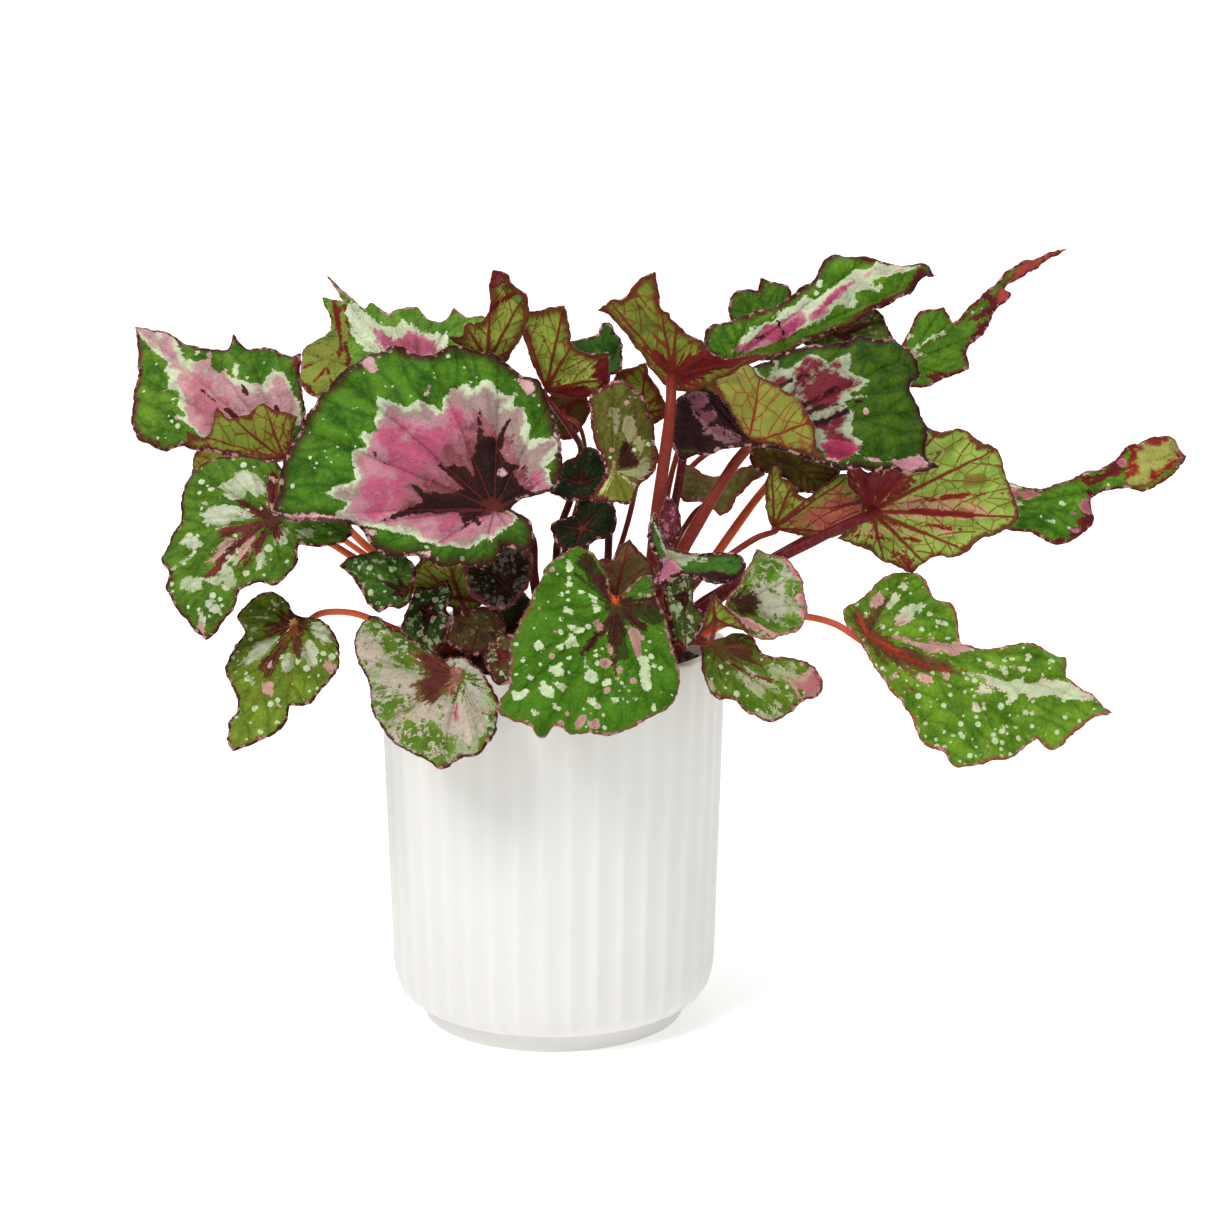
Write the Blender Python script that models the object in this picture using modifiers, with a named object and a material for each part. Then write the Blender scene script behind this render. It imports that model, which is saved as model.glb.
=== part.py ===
# Potted Alaska Creek rex begonia: fluted white pot, soil, three crowns with their stalks, leaf blades.
# Leaves are drawn flat, as seen from a viewpoint in front, and each is set on its own tilted plane.

import math

import bmesh
import bpy
import numpy as np
from mathutils import Vector
from mathutils.geometry import delaunay_2d_cdt

# All sizes in millimetres
MM = 0.001
GAP = 0.3

# Pot
POT_HEIGHT = 168
RIM_RADIUS = 75
WALL = 5
FLOOR = 14
FLOOR_RADIUS = 61
INNER_BEND = 22
FOOT_RADIUS = 57
FOOT_HEIGHT = 9
FLUTES = 40
FLUTE_DEPTH = 1.3
COLUMNS_PER_FLUTE = 3
FLUTE_TURN = -2.5

# Soil and crowns
SOIL_TOP = 155
PEG_RADIUS = 9
PEG_DEPTH = 15
CROWNS = {"left": (-34, 0), "middle": (2, -4), "right": (38, -6)}
CROWN_RADIUS = 13.5
CROWN_TOP = 170
KNOBS = 3
KNOB_RADIUS = 5.5
KNOB_HEIGHT = 163

# Blades
BLADE = 0.8
CELL = 10
EDGE_ROOM = 0.4 * CELL
POINT_ROOM = 0.6 * CELL
DOME = 0.12
WAVE = 0.018
FOLD = 0.016
RIB_WIDTH = 3
WAVE_REACH = 4
RIB_STEP = 3
SINUS_LIMIT = 3.3
SEAT_GAP = 0.6
STALK_TURN = 6
ROOT_REACH = 8
FLAP_SINK = 0.8
FLAP_RISE = 10

# Viewpoint that the outlines are drawn from
VIEWPOINT = np.array([23.5, -1220.4, 452.5])

# Base colours, linear
TINTS = {
    "ceramic": (0.78, 0.77, 0.73),
    "soil": (0.045, 0.028, 0.018),
    "stalk": (0.28, 0.02, 0.02),
    "green": (0.07, 0.24, 0.02),
    "dark": (0.02, 0.06, 0.015),
    "pink": (0.42, 0.12, 0.2),
    "maroon": (0.16, 0.03, 0.04),
    "silver": (0.35, 0.42, 0.28),
    "olive": (0.3, 0.36, 0.07),
    "red": (0.22, 0.07, 0.03),
    "brown": (0.12, 0.09, 0.03),
}

# seat: the junction's place as drawn, and its depth. tilt: depth gained along x and z.
# face 1 shows the upper side, -1 the underside. first and second run clockwise from the sinus.
LEAVES = {
    "big_pink": dict(
        seat=(-25, 225, -63), tilt=(0.01, 0.62), face=1, tint="pink",
        first=[(-18, 225), (-13, 223), (-9, 218), (-8.5, 210), (-12, 207), (-21, 209), (-24, 203),
            (-30, 200), (-38, 200.5), (-48, 200), (-58, 204), (-70, 204.5), (-78, 209), (-83, 217.5),
            (-100, 219.3), (-112, 220.5)],
        tip=(-120, 222),
        second=[(-117.5, 233), (-114.5, 245), (-108, 259), (-104, 265), (-99, 274), (-90, 282),
            (-77, 292.5), (-65, 294), (-52, 291.7), (-43, 294.5), (-33, 294), (-22, 290), (-15, 284.5),
            (-6, 280), (-1, 270), (2.5, 259), (4.5, 248), (4, 241), (2, 235), (-6, 231), (-16, 227.6)],
    ),
    "far_left": dict(
        seat=(-114, 246.4, -10.8), tilt=(-0.14, 0.77), face=1, tint="green",
        first=[(-122, 245.4), (-131, 247), (-140, 249), (-150, 250.5), (-157, 251.8), (-165, 251),
            (-173.5, 253), (-179.5, 262), (-178, 270), (-178, 276), (-175.5, 282), (-176, 290),
            (-175, 296)],
        tip=(-177, 305),
        second=[(-163, 300), (-155, 297.3), (-147.3, 293.6), (-137, 295.6), (-134.4, 299), (-129, 294.7),
            (-120, 294), (-110, 291.5), (-106.3, 291.5), (-107, 283), (-105, 268), (-106, 258),
            (-110, 249)],
    ),
    "left_scrap": dict(
        seat=(-124, 238, 6), tilt=(-0.02, -0.26), face=-1, tint="olive",
        first=[(-124, 233), (-134, 231), (-146, 234)],
        tip=(-154.2, 240),
        second=[(-153.3, 246), (-152, 250), (-146, 256), (-134, 258), (-124, 253), (-119, 243)],
    ),
    "left_middle": dict(
        seat=(-120, 220.5, -46.6), tilt=(-0.11, 0.88), face=1, tint="silver",
        first=[(-113, 225), (-100, 224), (-89, 221), (-85.5, 215.5), (-90, 210.3), (-100, 209), (-109, 209),
            (-111, 200), (-115.4, 194.7), (-120, 191.8), (-128, 192.3), (-135.5, 190), (-136, 185),
            (-141, 178)],
        tip=(-150, 166),
        second=[(-158.3, 176), (-165.6, 187), (-167, 191.5), (-165.5, 194.5), (-168.5, 204), (-162.5, 214),
            (-159.5, 221), (-158.5, 230), (-153.5, 242), (-142, 247), (-129, 248), (-117, 244), (-112, 236),
            (-113, 229)],
    ),
    "lower_left": dict(
        seat=(-111.5, 174.5, -50.7), tilt=(-0.11, 0.99), face=1, tint="silver",
        first=[(-108, 177.5), (-103, 177.2), (-98, 174.5), (-94, 169), (-92.3, 161), (-94.5, 152.5),
            (-100.5, 145), (-107, 139), (-115, 138), (-115.7, 132.5), (-119.5, 126.5), (-128, 122.5)],
        tip=(-140, 116.7),
        second=[(-142.5, 125), (-141.6, 129), (-138, 136), (-138, 143), (-142.4, 153), (-138, 164),
            (-133.7, 170), (-136, 177), (-130.5, 185.5), (-120.5, 188.2), (-114.4, 184), (-111, 178.5)],
    ),
    "small_left": dict(
        seat=(-63.4, 188.7, -58), tilt=(-0.05, 0.69), face=1, tint="dark",
        first=[(-61.5, 185), (-66, 181.5), (-71, 182), (-75, 179.5), (-80, 183.5), (-83, 190),
            (-88, 196.6)],
        tip=(-92, 200.6),
        second=[(-88, 203.3), (-80, 206), (-72, 207.5), (-64, 205), (-59, 199), (-60, 192)],
    ),
    "dark_spotted": dict(
        seat=(-54, 180, -47), tilt=(-0.06, 0.57), face=1, tint="dark",
        first=[(-44, 177), (-46, 169), (-51, 161.5)],
        tip=(-57, 159),
        second=[(-65, 166), (-65, 176), (-61.5, 184), (-59, 191), (-51, 190.5), (-45.5, 194.5), (-43, 186),
            (-46, 181.5)],
    ),
    "pot_left": dict(
        seat=(-40, 150.5, -84), tilt=(-0.1, 0.86), face=1, tint="silver",
        first=[(-45.5, 159.5), (-40.5, 160), (-35.5, 157), (-30.5, 154), (-29.5, 150.5), (-26, 146),
            (-23.8, 140), (-24.3, 131), (-27, 122), (-32.2, 117), (-40, 113.8)],
        tip=(-49.3, 109.7),
        second=[(-57, 114), (-69, 121), (-74.7, 128), (-79.5, 138), (-79.6, 146.6), (-84.8, 158.5),
            (-86, 165), (-84.5, 172), (-79, 177.5), (-75.5, 178.2), (-72, 174), (-66, 171.5), (-60, 167),
            (-53, 162.5), (-47.5, 158)],
    ),
    "top_left": dict(
        seat=(-56, 277, -10), tilt=(-0.06, 0.75), face=1, tint="green",
        first=[(-60, 272), (-75, 270), (-90, 272), (-101, 274), (-107, 279), (-106.5, 284), (-105.5, 292),
            (-101, 297.5), (-93, 301), (-94, 308), (-96.7, 315.2), (-88, 315)],
        tip=(-94.2, 324),
        second=[(-86.2, 318), (-83, 314), (-79, 311.8), (-76, 313.2), (-72, 311.5), (-68.5, 308),
            (-65, 311), (-61, 311.4), (-57, 312.7), (-51.5, 306.2), (-45.4, 306.6), (-41, 311),
            (-36, 308.2), (-29, 307.5), (-24, 303), (-26, 292), (-36, 282), (-48, 276)],
    ),
    "v_left": dict(
        seat=(-27, 289, -15.2), tilt=(0, -0.51), face=-1, tint="olive",
        first=[(-31, 289), (-36, 293), (-43.5, 299), (-37.6, 300.5), (-36.5, 304.5), (-30.5, 305.5),
            (-26.6, 308.7), (-26.2, 314), (-25.9, 320), (-25.8, 324)],
        tip=(-25, 327.2),
        second=[(-19, 326.5), (-15, 320), (-10.7, 318), (-9.5, 311), (-12, 301), (-15.5, 294.5),
            (-19.5, 288.5), (-24, 286)],
    ),
    "v_right": dict(
        seat=(-2.5, 276.5, -13.8), tilt=(-0.04, -0.25), face=-1, tint="olive",
        first=[(-5, 281), (-8.2, 288), (-11, 296), (-13.5, 303), (-13, 309.5), (-6, 310.3), (-1, 311.7)],
        tip=(5.5, 312.7),
        second=[(6.8, 308), (8, 300.6), (8.5, 296), (12.6, 293), (24, 292.5), (24.3, 282), (24.5, 274),
            (12, 273.5), (2, 273)],
    ),
    "narrow_green": dict(
        seat=(24, 283, 22), tilt=(0.03, 0.62), face=1, tint="green",
        first=[(16, 285), (9, 290), (8, 297), (14, 299), (19, 300)],
        tip=(21.5, 305.5),
        second=[(25, 305.2), (26.5, 301.3), (29.5, 298), (30, 291), (29, 284)],
    ),
    "dark_upper": dict(
        seat=(12, 236, -36), tilt=(0.07, 0.66), face=1, tint="dark",
        first=[(6, 229), (-1, 232), (0, 240), (3.5, 244.5), (8.8, 247)],
        tip=(14, 252),
        second=[(18.2, 251), (22.5, 245), (24, 240), (22, 234), (17, 230)],
    ),
    "dark_round": dict(
        seat=(12.8, 216.3, -45), tilt=(0.05, 0.71), face=1, tint="dark",
        first=[(9.8, 223), (10, 229), (16, 230), (24, 228.5), (27.5, 224), (27.5, 218), (24.5, 213.3),
            (18, 211), (15, 208.5)],
        tip=(9, 206.3),
        second=[(4, 208), (0, 213), (-0.5, 218), (5, 221)],
    ),
    "olive_silver": dict(
        seat=(26.5, 241.5, -46), tilt=(0, 0.66), face=1, tint="olive",
        first=[(22, 247.5), (19.5, 251.5), (17.2, 257), (16.5, 267), (15.5, 272), (20, 276.5), (26, 280),
            (31.5, 280), (38, 274), (42, 265), (43.5, 259.5), (44.5, 253), (45.5, 247), (44, 241.5),
            (38, 236), (33, 228), (28, 227.5), (22, 228.3)],
        tip=(16.5, 228.5),
        second=[(19, 234), (22, 238.5)],
    ),
    "olive_rim": dict(
        seat=(38, 266, 8), tilt=(0, -0.4), face=-1, tint="olive",
        first=[(33, 262), (27, 268), (25.5, 278), (29, 285), (34, 286.3)],
        tip=(40, 288),
        second=[(42, 282), (46, 276), (49, 269), (47.5, 264), (42, 261)],
    ),
    "olive_under": dict(
        seat=(6, 269, 3.2), tilt=(-0.18, -0.53), face=-1, tint="olive",
        first=[(7, 275), (14, 275), (17, 269), (13.5, 262)],
        tip=(9, 256),
        second=[(3, 256), (-3, 260), (-4, 268), (1, 275)],
    ),
    "star_fold": dict(
        seat=(51, 203.5, -74), tilt=(0.14, 0.68), face=1, tint="silver",
        first=[(54, 207), (59, 206), (66, 205.7), (71, 206.3), (76.4, 205.8), (81.5, 205.3), (83.2, 200),
            (79.5, 195), (69.5, 191.8), (62, 195.5), (55, 195.5), (48, 191.8)],
        tip=(41, 189.6),
        second=[(44.8, 195), (46, 200), (43.5, 207), (40.5, 214), (41.8, 219.5), (44, 223.5), (47, 216),
            (49.5, 209)],
    ),
    "young_upright": dict(
        seat=(51.5, 210, -68), tilt=(0.07, 0.88), face=1, tint="maroon",
        first=[(49.5, 209), (46.5, 216), (46.5, 222)],
        tip=(49, 231),
        second=[(53.5, 226.5), (55.3, 219), (54.3, 213)],
    ),
    "silver_dark": dict(
        seat=(-20, 190, -51), tilt=(-0.07, 0.81), face=1, tint="dark",
        first=[(-16, 184), (-22, 181), (-31, 183.5), (-36.5, 190), (-38, 198)],
        tip=(-33, 204),
        second=[(-25, 210), (-14, 211), (-9, 206), (-9, 198), (-11, 190), (-15, 186)],
    ),
    "brown_small": dict(
        seat=(-31, 174, -60), tilt=(-0.02, 0.71), face=1, tint="brown",
        first=[(-20.5, 173.5), (-22, 167), (-28, 162)],
        tip=(-35, 161),
        second=[(-42, 163), (-46, 169), (-43.5, 175.5), (-37, 180), (-30, 182), (-23, 179.5)],
    ),
    "dark_back": dict(
        seat=(-14, 174, -22), tilt=(0, 0.59), face=1, tint="dark",
        first=[(-9, 170), (-14, 164), (-20, 163)],
        tip=(-25, 167),
        second=[(-26, 176), (-25, 188), (-16, 190), (-11, 187), (-7, 176)],
    ),
    "olive_small": dict(
        seat=(-40, 186, -36.2), tilt=(0.11, -0.01), face=-1, tint="olive",
        first=[(-30, 184), (-36, 180), (-45, 182)],
        tip=(-56, 186),
        second=[(-62, 193), (-58, 202), (-46, 206), (-36, 203), (-30, 194)],
    ),
    "marbled_small": dict(
        seat=(-22, 161, -79), tilt=(-0.08, 0.69), face=1, tint="dark",
        first=[(-13, 160), (-14, 153), (-18, 148)],
        tip=(-24.5, 147.5),
        second=[(-28, 153.5), (-29.5, 159), (-27, 165), (-21.5, 169.5), (-16.7, 169)],
    ),
    "pot_front": dict(
        seat=(27.6, 182.5, -74), tilt=(0.03, 0.8), face=1, tint="green",
        first=[(29, 187), (34, 192), (41, 196), (44, 196.5), (43.8, 189.5), (48, 179.5), (50.5, 170),
            (53, 160), (55.2, 152), (54.5, 145.5), (51.3, 137.5), (43, 133.5), (36, 128.5), (28, 125.8),
            (18, 124.8), (8, 126.2), (1, 127.8)],
        tip=(-4.9, 124.3),
        second=[(-11.5, 128.7), (-18, 132), (-23.7, 134.2), (-24, 139), (-20, 144), (-18.7, 152),
            (-18.2, 162), (-16.5, 171), (-11.4, 180), (-9, 187), (-5.3, 193), (-3.5, 199), (3, 204),
            (11, 209.5), (17.5, 205), (23.6, 196), (25.8, 187.5)],
    ),
    "front_under": dict(
        seat=(27, 187, -46), tilt=(0.09, -0.55), face=-1, tint="brown",
        first=[(20, 190), (17, 200), (20.5, 203), (25.5, 203.5), (29.5, 209)],
        tip=(33, 212),
        second=[(37, 207), (44, 199), (45, 190), (36, 185)],
    ),
    "right_marbled": dict(
        seat=(57, 186, -62), tilt=(0.14, 0.6), face=1, tint="silver",
        first=[(61, 184), (66, 178), (64, 172), (60.4, 166.5)],
        tip=(57.5, 162.5),
        second=[(52.5, 168), (50.5, 177), (48, 187), (51, 195.5), (56, 197.5), (61.5, 195), (61, 189)],
    ),
    "right_front": dict(
        seat=(70.4, 163.7, -61.3), tilt=(0.01, 0.69), face=1, tint="brown",
        first=[(73.5, 168.3), (81, 170.5), (86, 169), (89.4, 163.5), (92.3, 160.8), (101, 159.5),
            (108, 158.4), (113.5, 155)],
        tip=(117.6, 148.5),
        second=[(115, 142.5), (108, 139), (103.5, 135.5), (98.6, 131.2), (92.9, 131.3), (86.5, 133.3),
            (79.1, 140.5), (72.5, 140.7), (68, 145), (65.5, 151), (64.5, 160), (64.5, 165.5), (68, 167)],
    ),
    "pink_edge": dict(
        seat=(76, 181.5, -55), tilt=(0.12, 0.89), face=1, tint="silver",
        first=[(75.5, 186), (79.3, 190.5), (83.6, 198.6)],
        tip=(88, 207.6),
        second=[(93, 205.4), (100.3, 204), (106.5, 195.5), (109.8, 184), (109.8, 177), (108, 173.5),
            (105, 170.8), (98, 168.6), (90, 167.3), (85.5, 169), (80, 175), (75, 178)],
    ),
    "inverted_v": dict(
        seat=(70, 176.5, -66), tilt=(-0.02, -0.25), face=-1, tint="olive",
        first=[(68, 173.5), (61.5, 166.3), (65, 174), (66.8, 181)],
        tip=(69.3, 188),
        second=[(73, 184), (79, 178), (86, 171), (76, 173.5)],
    ),
    "lower_right": dict(
        seat=(136.5, 169, -48), tilt=(0.16, 0.88), face=1, tint="green",
        first=[(131, 170), (127.4, 173.8), (125.3, 179), (133.9, 186.3), (144.2, 195.6), (152, 197.5),
            (159, 195.5), (166, 186), (173, 182), (176, 171), (176.8, 164.6), (190, 164), (205.3, 165.3),
            (219, 161), (222.5, 158), (223.8, 152), (231, 144)],
        tip=(244.7, 136.3),
        second=[(233.4, 130.3), (216, 119.5), (210.5, 123), (202.8, 116.3), (190, 112), (176, 111.3),
            (170.5, 116.3), (161.5, 121.8), (154.8, 134.7), (144, 149.5), (135, 163)],
    ),
    "left_under": dict(
        seat=(95, 216.6, -24), tilt=(0.08, -0.03), face=-1, tint="olive",
        first=[(91.8, 225), (91, 232), (93.8, 244.6), (97.2, 244.6), (98.5, 239), (103, 237),
            (104.3, 232.5), (109, 230), (115, 234.5), (119, 237.5), (124, 240)],
        tip=(128, 240),
        second=[(134, 231), (133, 221), (127, 215), (118, 212), (109, 213), (101, 214.8)],
    ),
    "right_under": dict(
        seat=(137, 224.2, -24), tilt=(0.06, 0.02), face=-1, tint="olive",
        first=[(133, 227.5), (127, 236), (126, 241.5), (129.5, 245), (134, 241.5), (142, 244), (147, 247),
            (151, 255), (156, 262.5), (164.6, 259), (176.7, 259.2), (182, 254.7), (190, 251.3), (193, 243),
            (196, 235)],
        tip=(199.8, 221.5),
        second=[(190.7, 213.6), (184.8, 212.5), (178.7, 206.3), (171, 203.7), (166, 204.5), (160, 201.5),
            (155, 196.5), (149, 199.5), (142.5, 202.2), (136, 206.8), (128, 210), (122, 212), (129, 217)],
    ),
    "far_right": dict(
        seat=(189, 226, 14), tilt=(0.23, 0.85), face=1, tint="pink",
        first=[(190, 235), (196, 237), (205, 233.5), (217, 236.5), (228, 240.5), (237.6, 244.5),
            (246, 251.5), (252, 255), (261.2, 255.9)],
        tip=(272.4, 249.7),
        second=[(265.3, 239.3), (254.5, 233.8), (244, 233.6), (234, 232), (230.6, 228.5), (233, 222),
            (228, 214), (216.8, 210), (205, 215), (194, 217)],
    ),
    "red_tip": dict(
        seat=(150, 287, 20.4), tilt=(0.26, 0.73), face=1, tint="green",
        first=[(148, 293), (149.5, 298.5), (152.7, 304), (154.5, 309.3), (165.5, 311.2), (170, 305.2),
            (178.8, 313.8), (186.2, 321), (195, 328.8), (203.4, 333)],
        tip=(216.8, 335.7),
        second=[(204.5, 328.8), (199.5, 324.5), (192.2, 320.5), (193.3, 316.3), (187.5, 310), (183.5, 301),
            (176.5, 294), (176.6, 285), (169, 282.5), (158, 277.5), (151, 278.5), (146, 283)],
    ),
    "right_star": dict(
        seat=(84, 254, -38), tilt=(0.12, 0.72), face=1, tint="maroon",
        first=[(78, 251.8), (69, 249.6), (62, 248.2), (56.5, 247), (50.5, 253), (50, 264), (54, 273),
            (62, 278.5), (72, 282.5), (84, 286), (98, 291.5), (113.5, 296.5), (122, 295.5), (129.4, 300),
            (139, 297), (146, 299), (153, 291.5), (156.8, 284), (152, 278), (157.4, 267.5), (160, 257),
            (160, 249)],
        tip=(165, 242.3),
        second=[(152, 241.3), (144, 242.2), (138, 241.6), (130, 243), (124, 242.3), (118, 243.7),
            (111, 246.4), (103, 249.2), (95, 251.3), (88, 252.4)],
    ),
    "top_right": dict(
        seat=(77, 288.3, -6.2), tilt=(0.34, 0.75), face=1, tint="green",
        first=[(71, 289.5), (64, 294.5), (66, 302.8), (75, 306), (84, 309), (98, 314), (105.5, 320),
            (110, 323), (117, 333), (125, 334), (133, 331.5), (147, 330.7), (157, 328.5)],
        tip=(163.8, 326),
        second=[(157, 324), (153.5, 319.5), (149, 316), (141, 312.8), (134, 309), (127, 304), (118, 300.8),
            (112, 298.6), (106, 296), (98, 291.6), (88, 288.5)],
    ),
    "behind_top": dict(
        seat=(91, 302, 32), tilt=(0.07, 0.55), face=1, tint="green",
        first=[(84, 300), (77, 305), (75, 314.5), (77, 317.7), (83.5, 319.3), (87.3, 319)],
        tip=(88.3, 323.6),
        second=[(94, 323), (100.5, 319.5), (101, 312), (97, 304)],
    ),
    "centre_under": dict(
        seat=(51.3, 282.5, -34.5), tilt=(-0.11, -0.43), face=-1, tint="red",
        first=[(47.5, 279.5), (42.5, 285), (36.5, 294), (31.5, 301), (24.3, 308), (19.8, 311.5), (25, 314),
            (31, 316.5), (37, 323)],
        tip=(43.8, 327.6),
        second=[(45, 320.5), (45.8, 315), (46.6, 310.5), (49.7, 309.5), (50.5, 306.8), (53, 305.5),
            (57, 300.2), (63.5, 298), (66.5, 293), (73, 290.4), (84, 291), (93.4, 292.3), (80, 285.5),
            (68, 279.7), (58, 275.5)],
    ),
    "behind_star": dict(
        seat=(122, 300, 30), tilt=(0.19, 0.71), face=1, tint="green",
        first=[(112, 293), (104, 299), (108, 308), (122, 313), (134, 312)],
        tip=(141, 307),
        second=[(142.3, 303), (144.5, 298), (138, 292), (128, 291)],
    ),
    "behind_under": dict(
        seat=(104, 244, -14), tilt=(0.22, 0.67), face=1, tint="brown",
        first=[(95, 240), (86, 243), (85, 251), (96, 256), (108, 255)],
        tip=(119, 249),
        second=[(123, 242), (120, 236), (116, 233), (105, 231.8), (103, 236)],
    ),
    "pale_behind": dict(
        seat=(70, 232, -13.6), tilt=(-0.06, 0.66), face=1, tint="olive",
        first=[(64, 228), (57, 228), (53, 236), (56, 244.5), (61, 243.3), (66, 239.7), (76, 240.5),
            (82, 243.5), (87, 244.3)],
        tip=(91, 240.5),
        second=[(85, 236), (80, 231), (77, 225.5), (72, 222)],
    ),
}

# The folded-over halves, each hinged on its blade along a line
FLAPS = {
    "far_left": dict(
        hinge=((-115, 246.5), (-157, 252)), lift=8,
        edge=[(-122, 246.6), (-131, 248.2), (-140, 250.2), (-149, 251.8), (-156, 253), (-155, 257.5),
            (-149.6, 254.8), (-144, 258), (-140, 264.5), (-135, 260), (-128, 261.6), (-120.5, 265.4),
            (-115.5, 263.4), (-107, 261.5), (-109.5, 256), (-111.5, 251), (-114, 248)],
    ),
    "right_star": dict(
        hinge=((84, 254), (118, 244)), lift=9,
        edge=[(85, 255.2), (76, 264.5), (65, 274.5), (69, 280), (81, 284), (87, 277.5), (93, 273.5),
            (103.3, 266.5), (109.5, 259), (113, 250.7), (116, 246.6), (110, 248.4), (102, 251), (94, 253)],
    ),
}

# Crown, thickness and the points between the crown and the blade's junction, with their depths
STALKS = {
    "big_pink": ("middle", 2.6, [(-8, 195, -22), (-9, 212, -28), (-17, 221, -42)]),
    "far_left": ("left", 2.2, [(-60, 192, -21.4), (-78, 207, -20.6), (-88, 217, -15.1),
        (-104, 236, -6.1)]),
    "left_scrap": ("left", 1.6, [(-55, 185, -13.8), (-78, 203, -11.5), (-104, 222, -6.7),
        (-118, 233, -13.5)]),
    "left_middle": ("left", 2.2, [(-60, 190, -34.6), (-85, 203.5, -36.4), (-95, 209.7, -36.4),
        (-110, 216.5, -39.4)]),
    "lower_left": ("left", 2, [(-66, 171, -36.7), (-77, 176, -42.7), (-88, 179.5, -43.9),
        (-101, 178.8, -42.8)]),
    "small_left": ("left", 1.6, [(-58, 182, -28), (-68, 189, -44)]),
    "dark_spotted": ("left", 1.5, [(-46, 175, -32)]),
    "pot_left": ("left", 2.2, [(-40, 156.5, -40), (-42, 157, -68)]),
    "top_left": ("left", 2.2, [(-50, 185, -12), (-58, 215, -18), (-60, 245, -14)]),
    "silver_dark": ("left", 1.5, [(-25, 182, -30)]),
    "brown_small": ("left", 1.5, [(-32, 171, -44)]),
    "olive_small": ("left", 1.5, [(-38, 180, -47.3)]),
    "dark_back": ("middle", 1.5, [(-10, 168, -12)]),
    "marbled_small": ("middle", 1.4, [(-12, 164, -45), (-19, 162.5, -68)]),
    "v_left": ("left", 2, [(-42, 200, -7.4), (-38, 245, -12.5), (-33, 272, -23.4)]),
    "v_right": ("middle", 2, [(2, 208, -17.8), (8, 230, -19.5), (12.5, 249, -19.1), (9, 258, -29.7),
        (2, 268, -28.3)]),
    "olive_under": ("middle", 1.4, [(4, 200, -10.6), (13, 235, -12.6), (14, 252, -8.2),
        (11, 262, -11.6)]),
    "narrow_green": ("middle", 1.6, [(14, 205, -1.9), (22, 250, 8)]),
    "dark_upper": ("middle", 1.5, [(8, 200, -20), (11, 222, -26)]),
    "dark_round": ("middle", 1.5, [(10, 200, -28)]),
    "olive_silver": ("middle", 2.2, [(22, 195, -26), (24.3, 213, -30), (25, 230, -34)]),
    "olive_rim": ("middle", 1.5, [(28, 205, -12.7), (36, 235, -9.9), (38, 253, -12.2)]),
    "pot_front": ("middle", 2.4, [(20, 176, -42), (25, 178.5, -64)]),
    "front_under": ("middle", 1.6, [(14, 178, -34), (29, 180, -66)]),
    "star_fold": ("right", 1.8, [(44, 182, -40), (48, 194, -62)]),
    "young_upright": ("right", 1.4, [(47, 188, -40), (50, 201, -53)]),
    "right_marbled": ("right", 1.5, [(50, 178, -46)]),
    "right_front": ("right", 2.2, [(54, 168, -32.3), (64, 168, -50.8)]),
    "inverted_v": ("right", 1.4, [(58, 166, -50), (67.5, 165.5, -70)]),
    "pink_edge": ("right", 2, [(54, 174, -22), (67, 178, -36)]),
    "lower_right": ("right", 2.2, [(64, 169.5, -31.8), (74, 174.5, -38.3), (84, 177.5, -41.3),
        (106, 178, -34.6), (122, 174.5, -35.2)]),
    "left_under": ("right", 2, [(58, 188, -30), (70, 200, -36), (78, 206, -38), (88, 212.5, -40)]),
    "right_under": ("right", 3.3, [(60, 176, -26), (72, 186.5, -30), (84, 195, -31), (98, 204, -31),
        (112, 211, -34), (125, 217.5, -37)]),
    "centre_under": ("right", 3.5, [(42, 190, -33.7), (44, 212, -41.2), (46, 232, -46.6),
        (48.5, 250, -49.9), (50.5, 268, -49.2)]),
    "top_right": ("right", 2.4, [(46, 190, -18.5), (54, 235, -22.2), (57, 252, -17.6), (62, 264, -7.7),
        (67, 277, 0.5)]),
    "right_star": ("right", 3.5, [(46, 186, -30), (55, 205, -36), (62, 218, -37), (70, 232, -35),
        (77.5, 244, -30)]),
    "red_tip": ("right", 2.3, [(54, 182, -12.2), (67, 200, -9.6), (78, 216, -6.6), (88, 230, -1.3),
        (100, 244, 9.3), (122, 268, 22.2), (138, 279, 29.2)]),
    "far_right": ("right", 2.2, [(60, 180, -9.8), (74, 190, -10.5), (98, 205.5, -10.7),
        (124, 219, -2.5), (150, 224, 6.1), (172, 226, 13.9)]),
    "behind_top": ("right", 1.6, [(47, 200, -5.4), (50, 235, 5.2), (60, 265, 18), (78, 290, 30.7)]),
    "behind_star": ("right", 1.6, [(48, 205, 1.5), (57, 240, 10.5), (84, 262, 22.4), (108, 290, 30.9)]),
    "behind_under": ("right", 1.6, [(56, 205, -20), (67, 228, -7), (84, 240, -6), (96, 245, -6)]),
    "pale_behind": ("right", 1.6, [(50, 200, -10.5), (60, 222, -2.2)]),
}


def collection(name, shown=True):
    """New collection of the scene"""
    made = bpy.data.collections.new(name)
    bpy.context.scene.collection.children.link(made)
    made.hide_render = not shown
    return made


def material(name, tint, roughness):
    """Principled material of one colour"""
    made = bpy.data.materials.new(name)
    made.use_nodes = True
    shader = made.node_tree.nodes["Principled BSDF"]
    shader.inputs["Base Color"].default_value = (*TINTS[tint], 1)
    shader.inputs["Roughness"].default_value = roughness
    shader.inputs["Metallic"].default_value = 0
    made.diffuse_color = (*TINTS[tint], 1)
    return made


def place(obj, group, look=None):
    """Moves the object into the group, under the plant's empty where it is shown"""
    for old in list(obj.users_collection):
        old.objects.unlink(obj)
    group.objects.link(obj)
    if group is cutters:
        obj.hide_render = True
        obj.display_type = "WIRE"
    else:
        obj.parent = plant
    if look:
        obj.data.materials.clear()
        obj.data.materials.append(look)
    return obj


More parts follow.
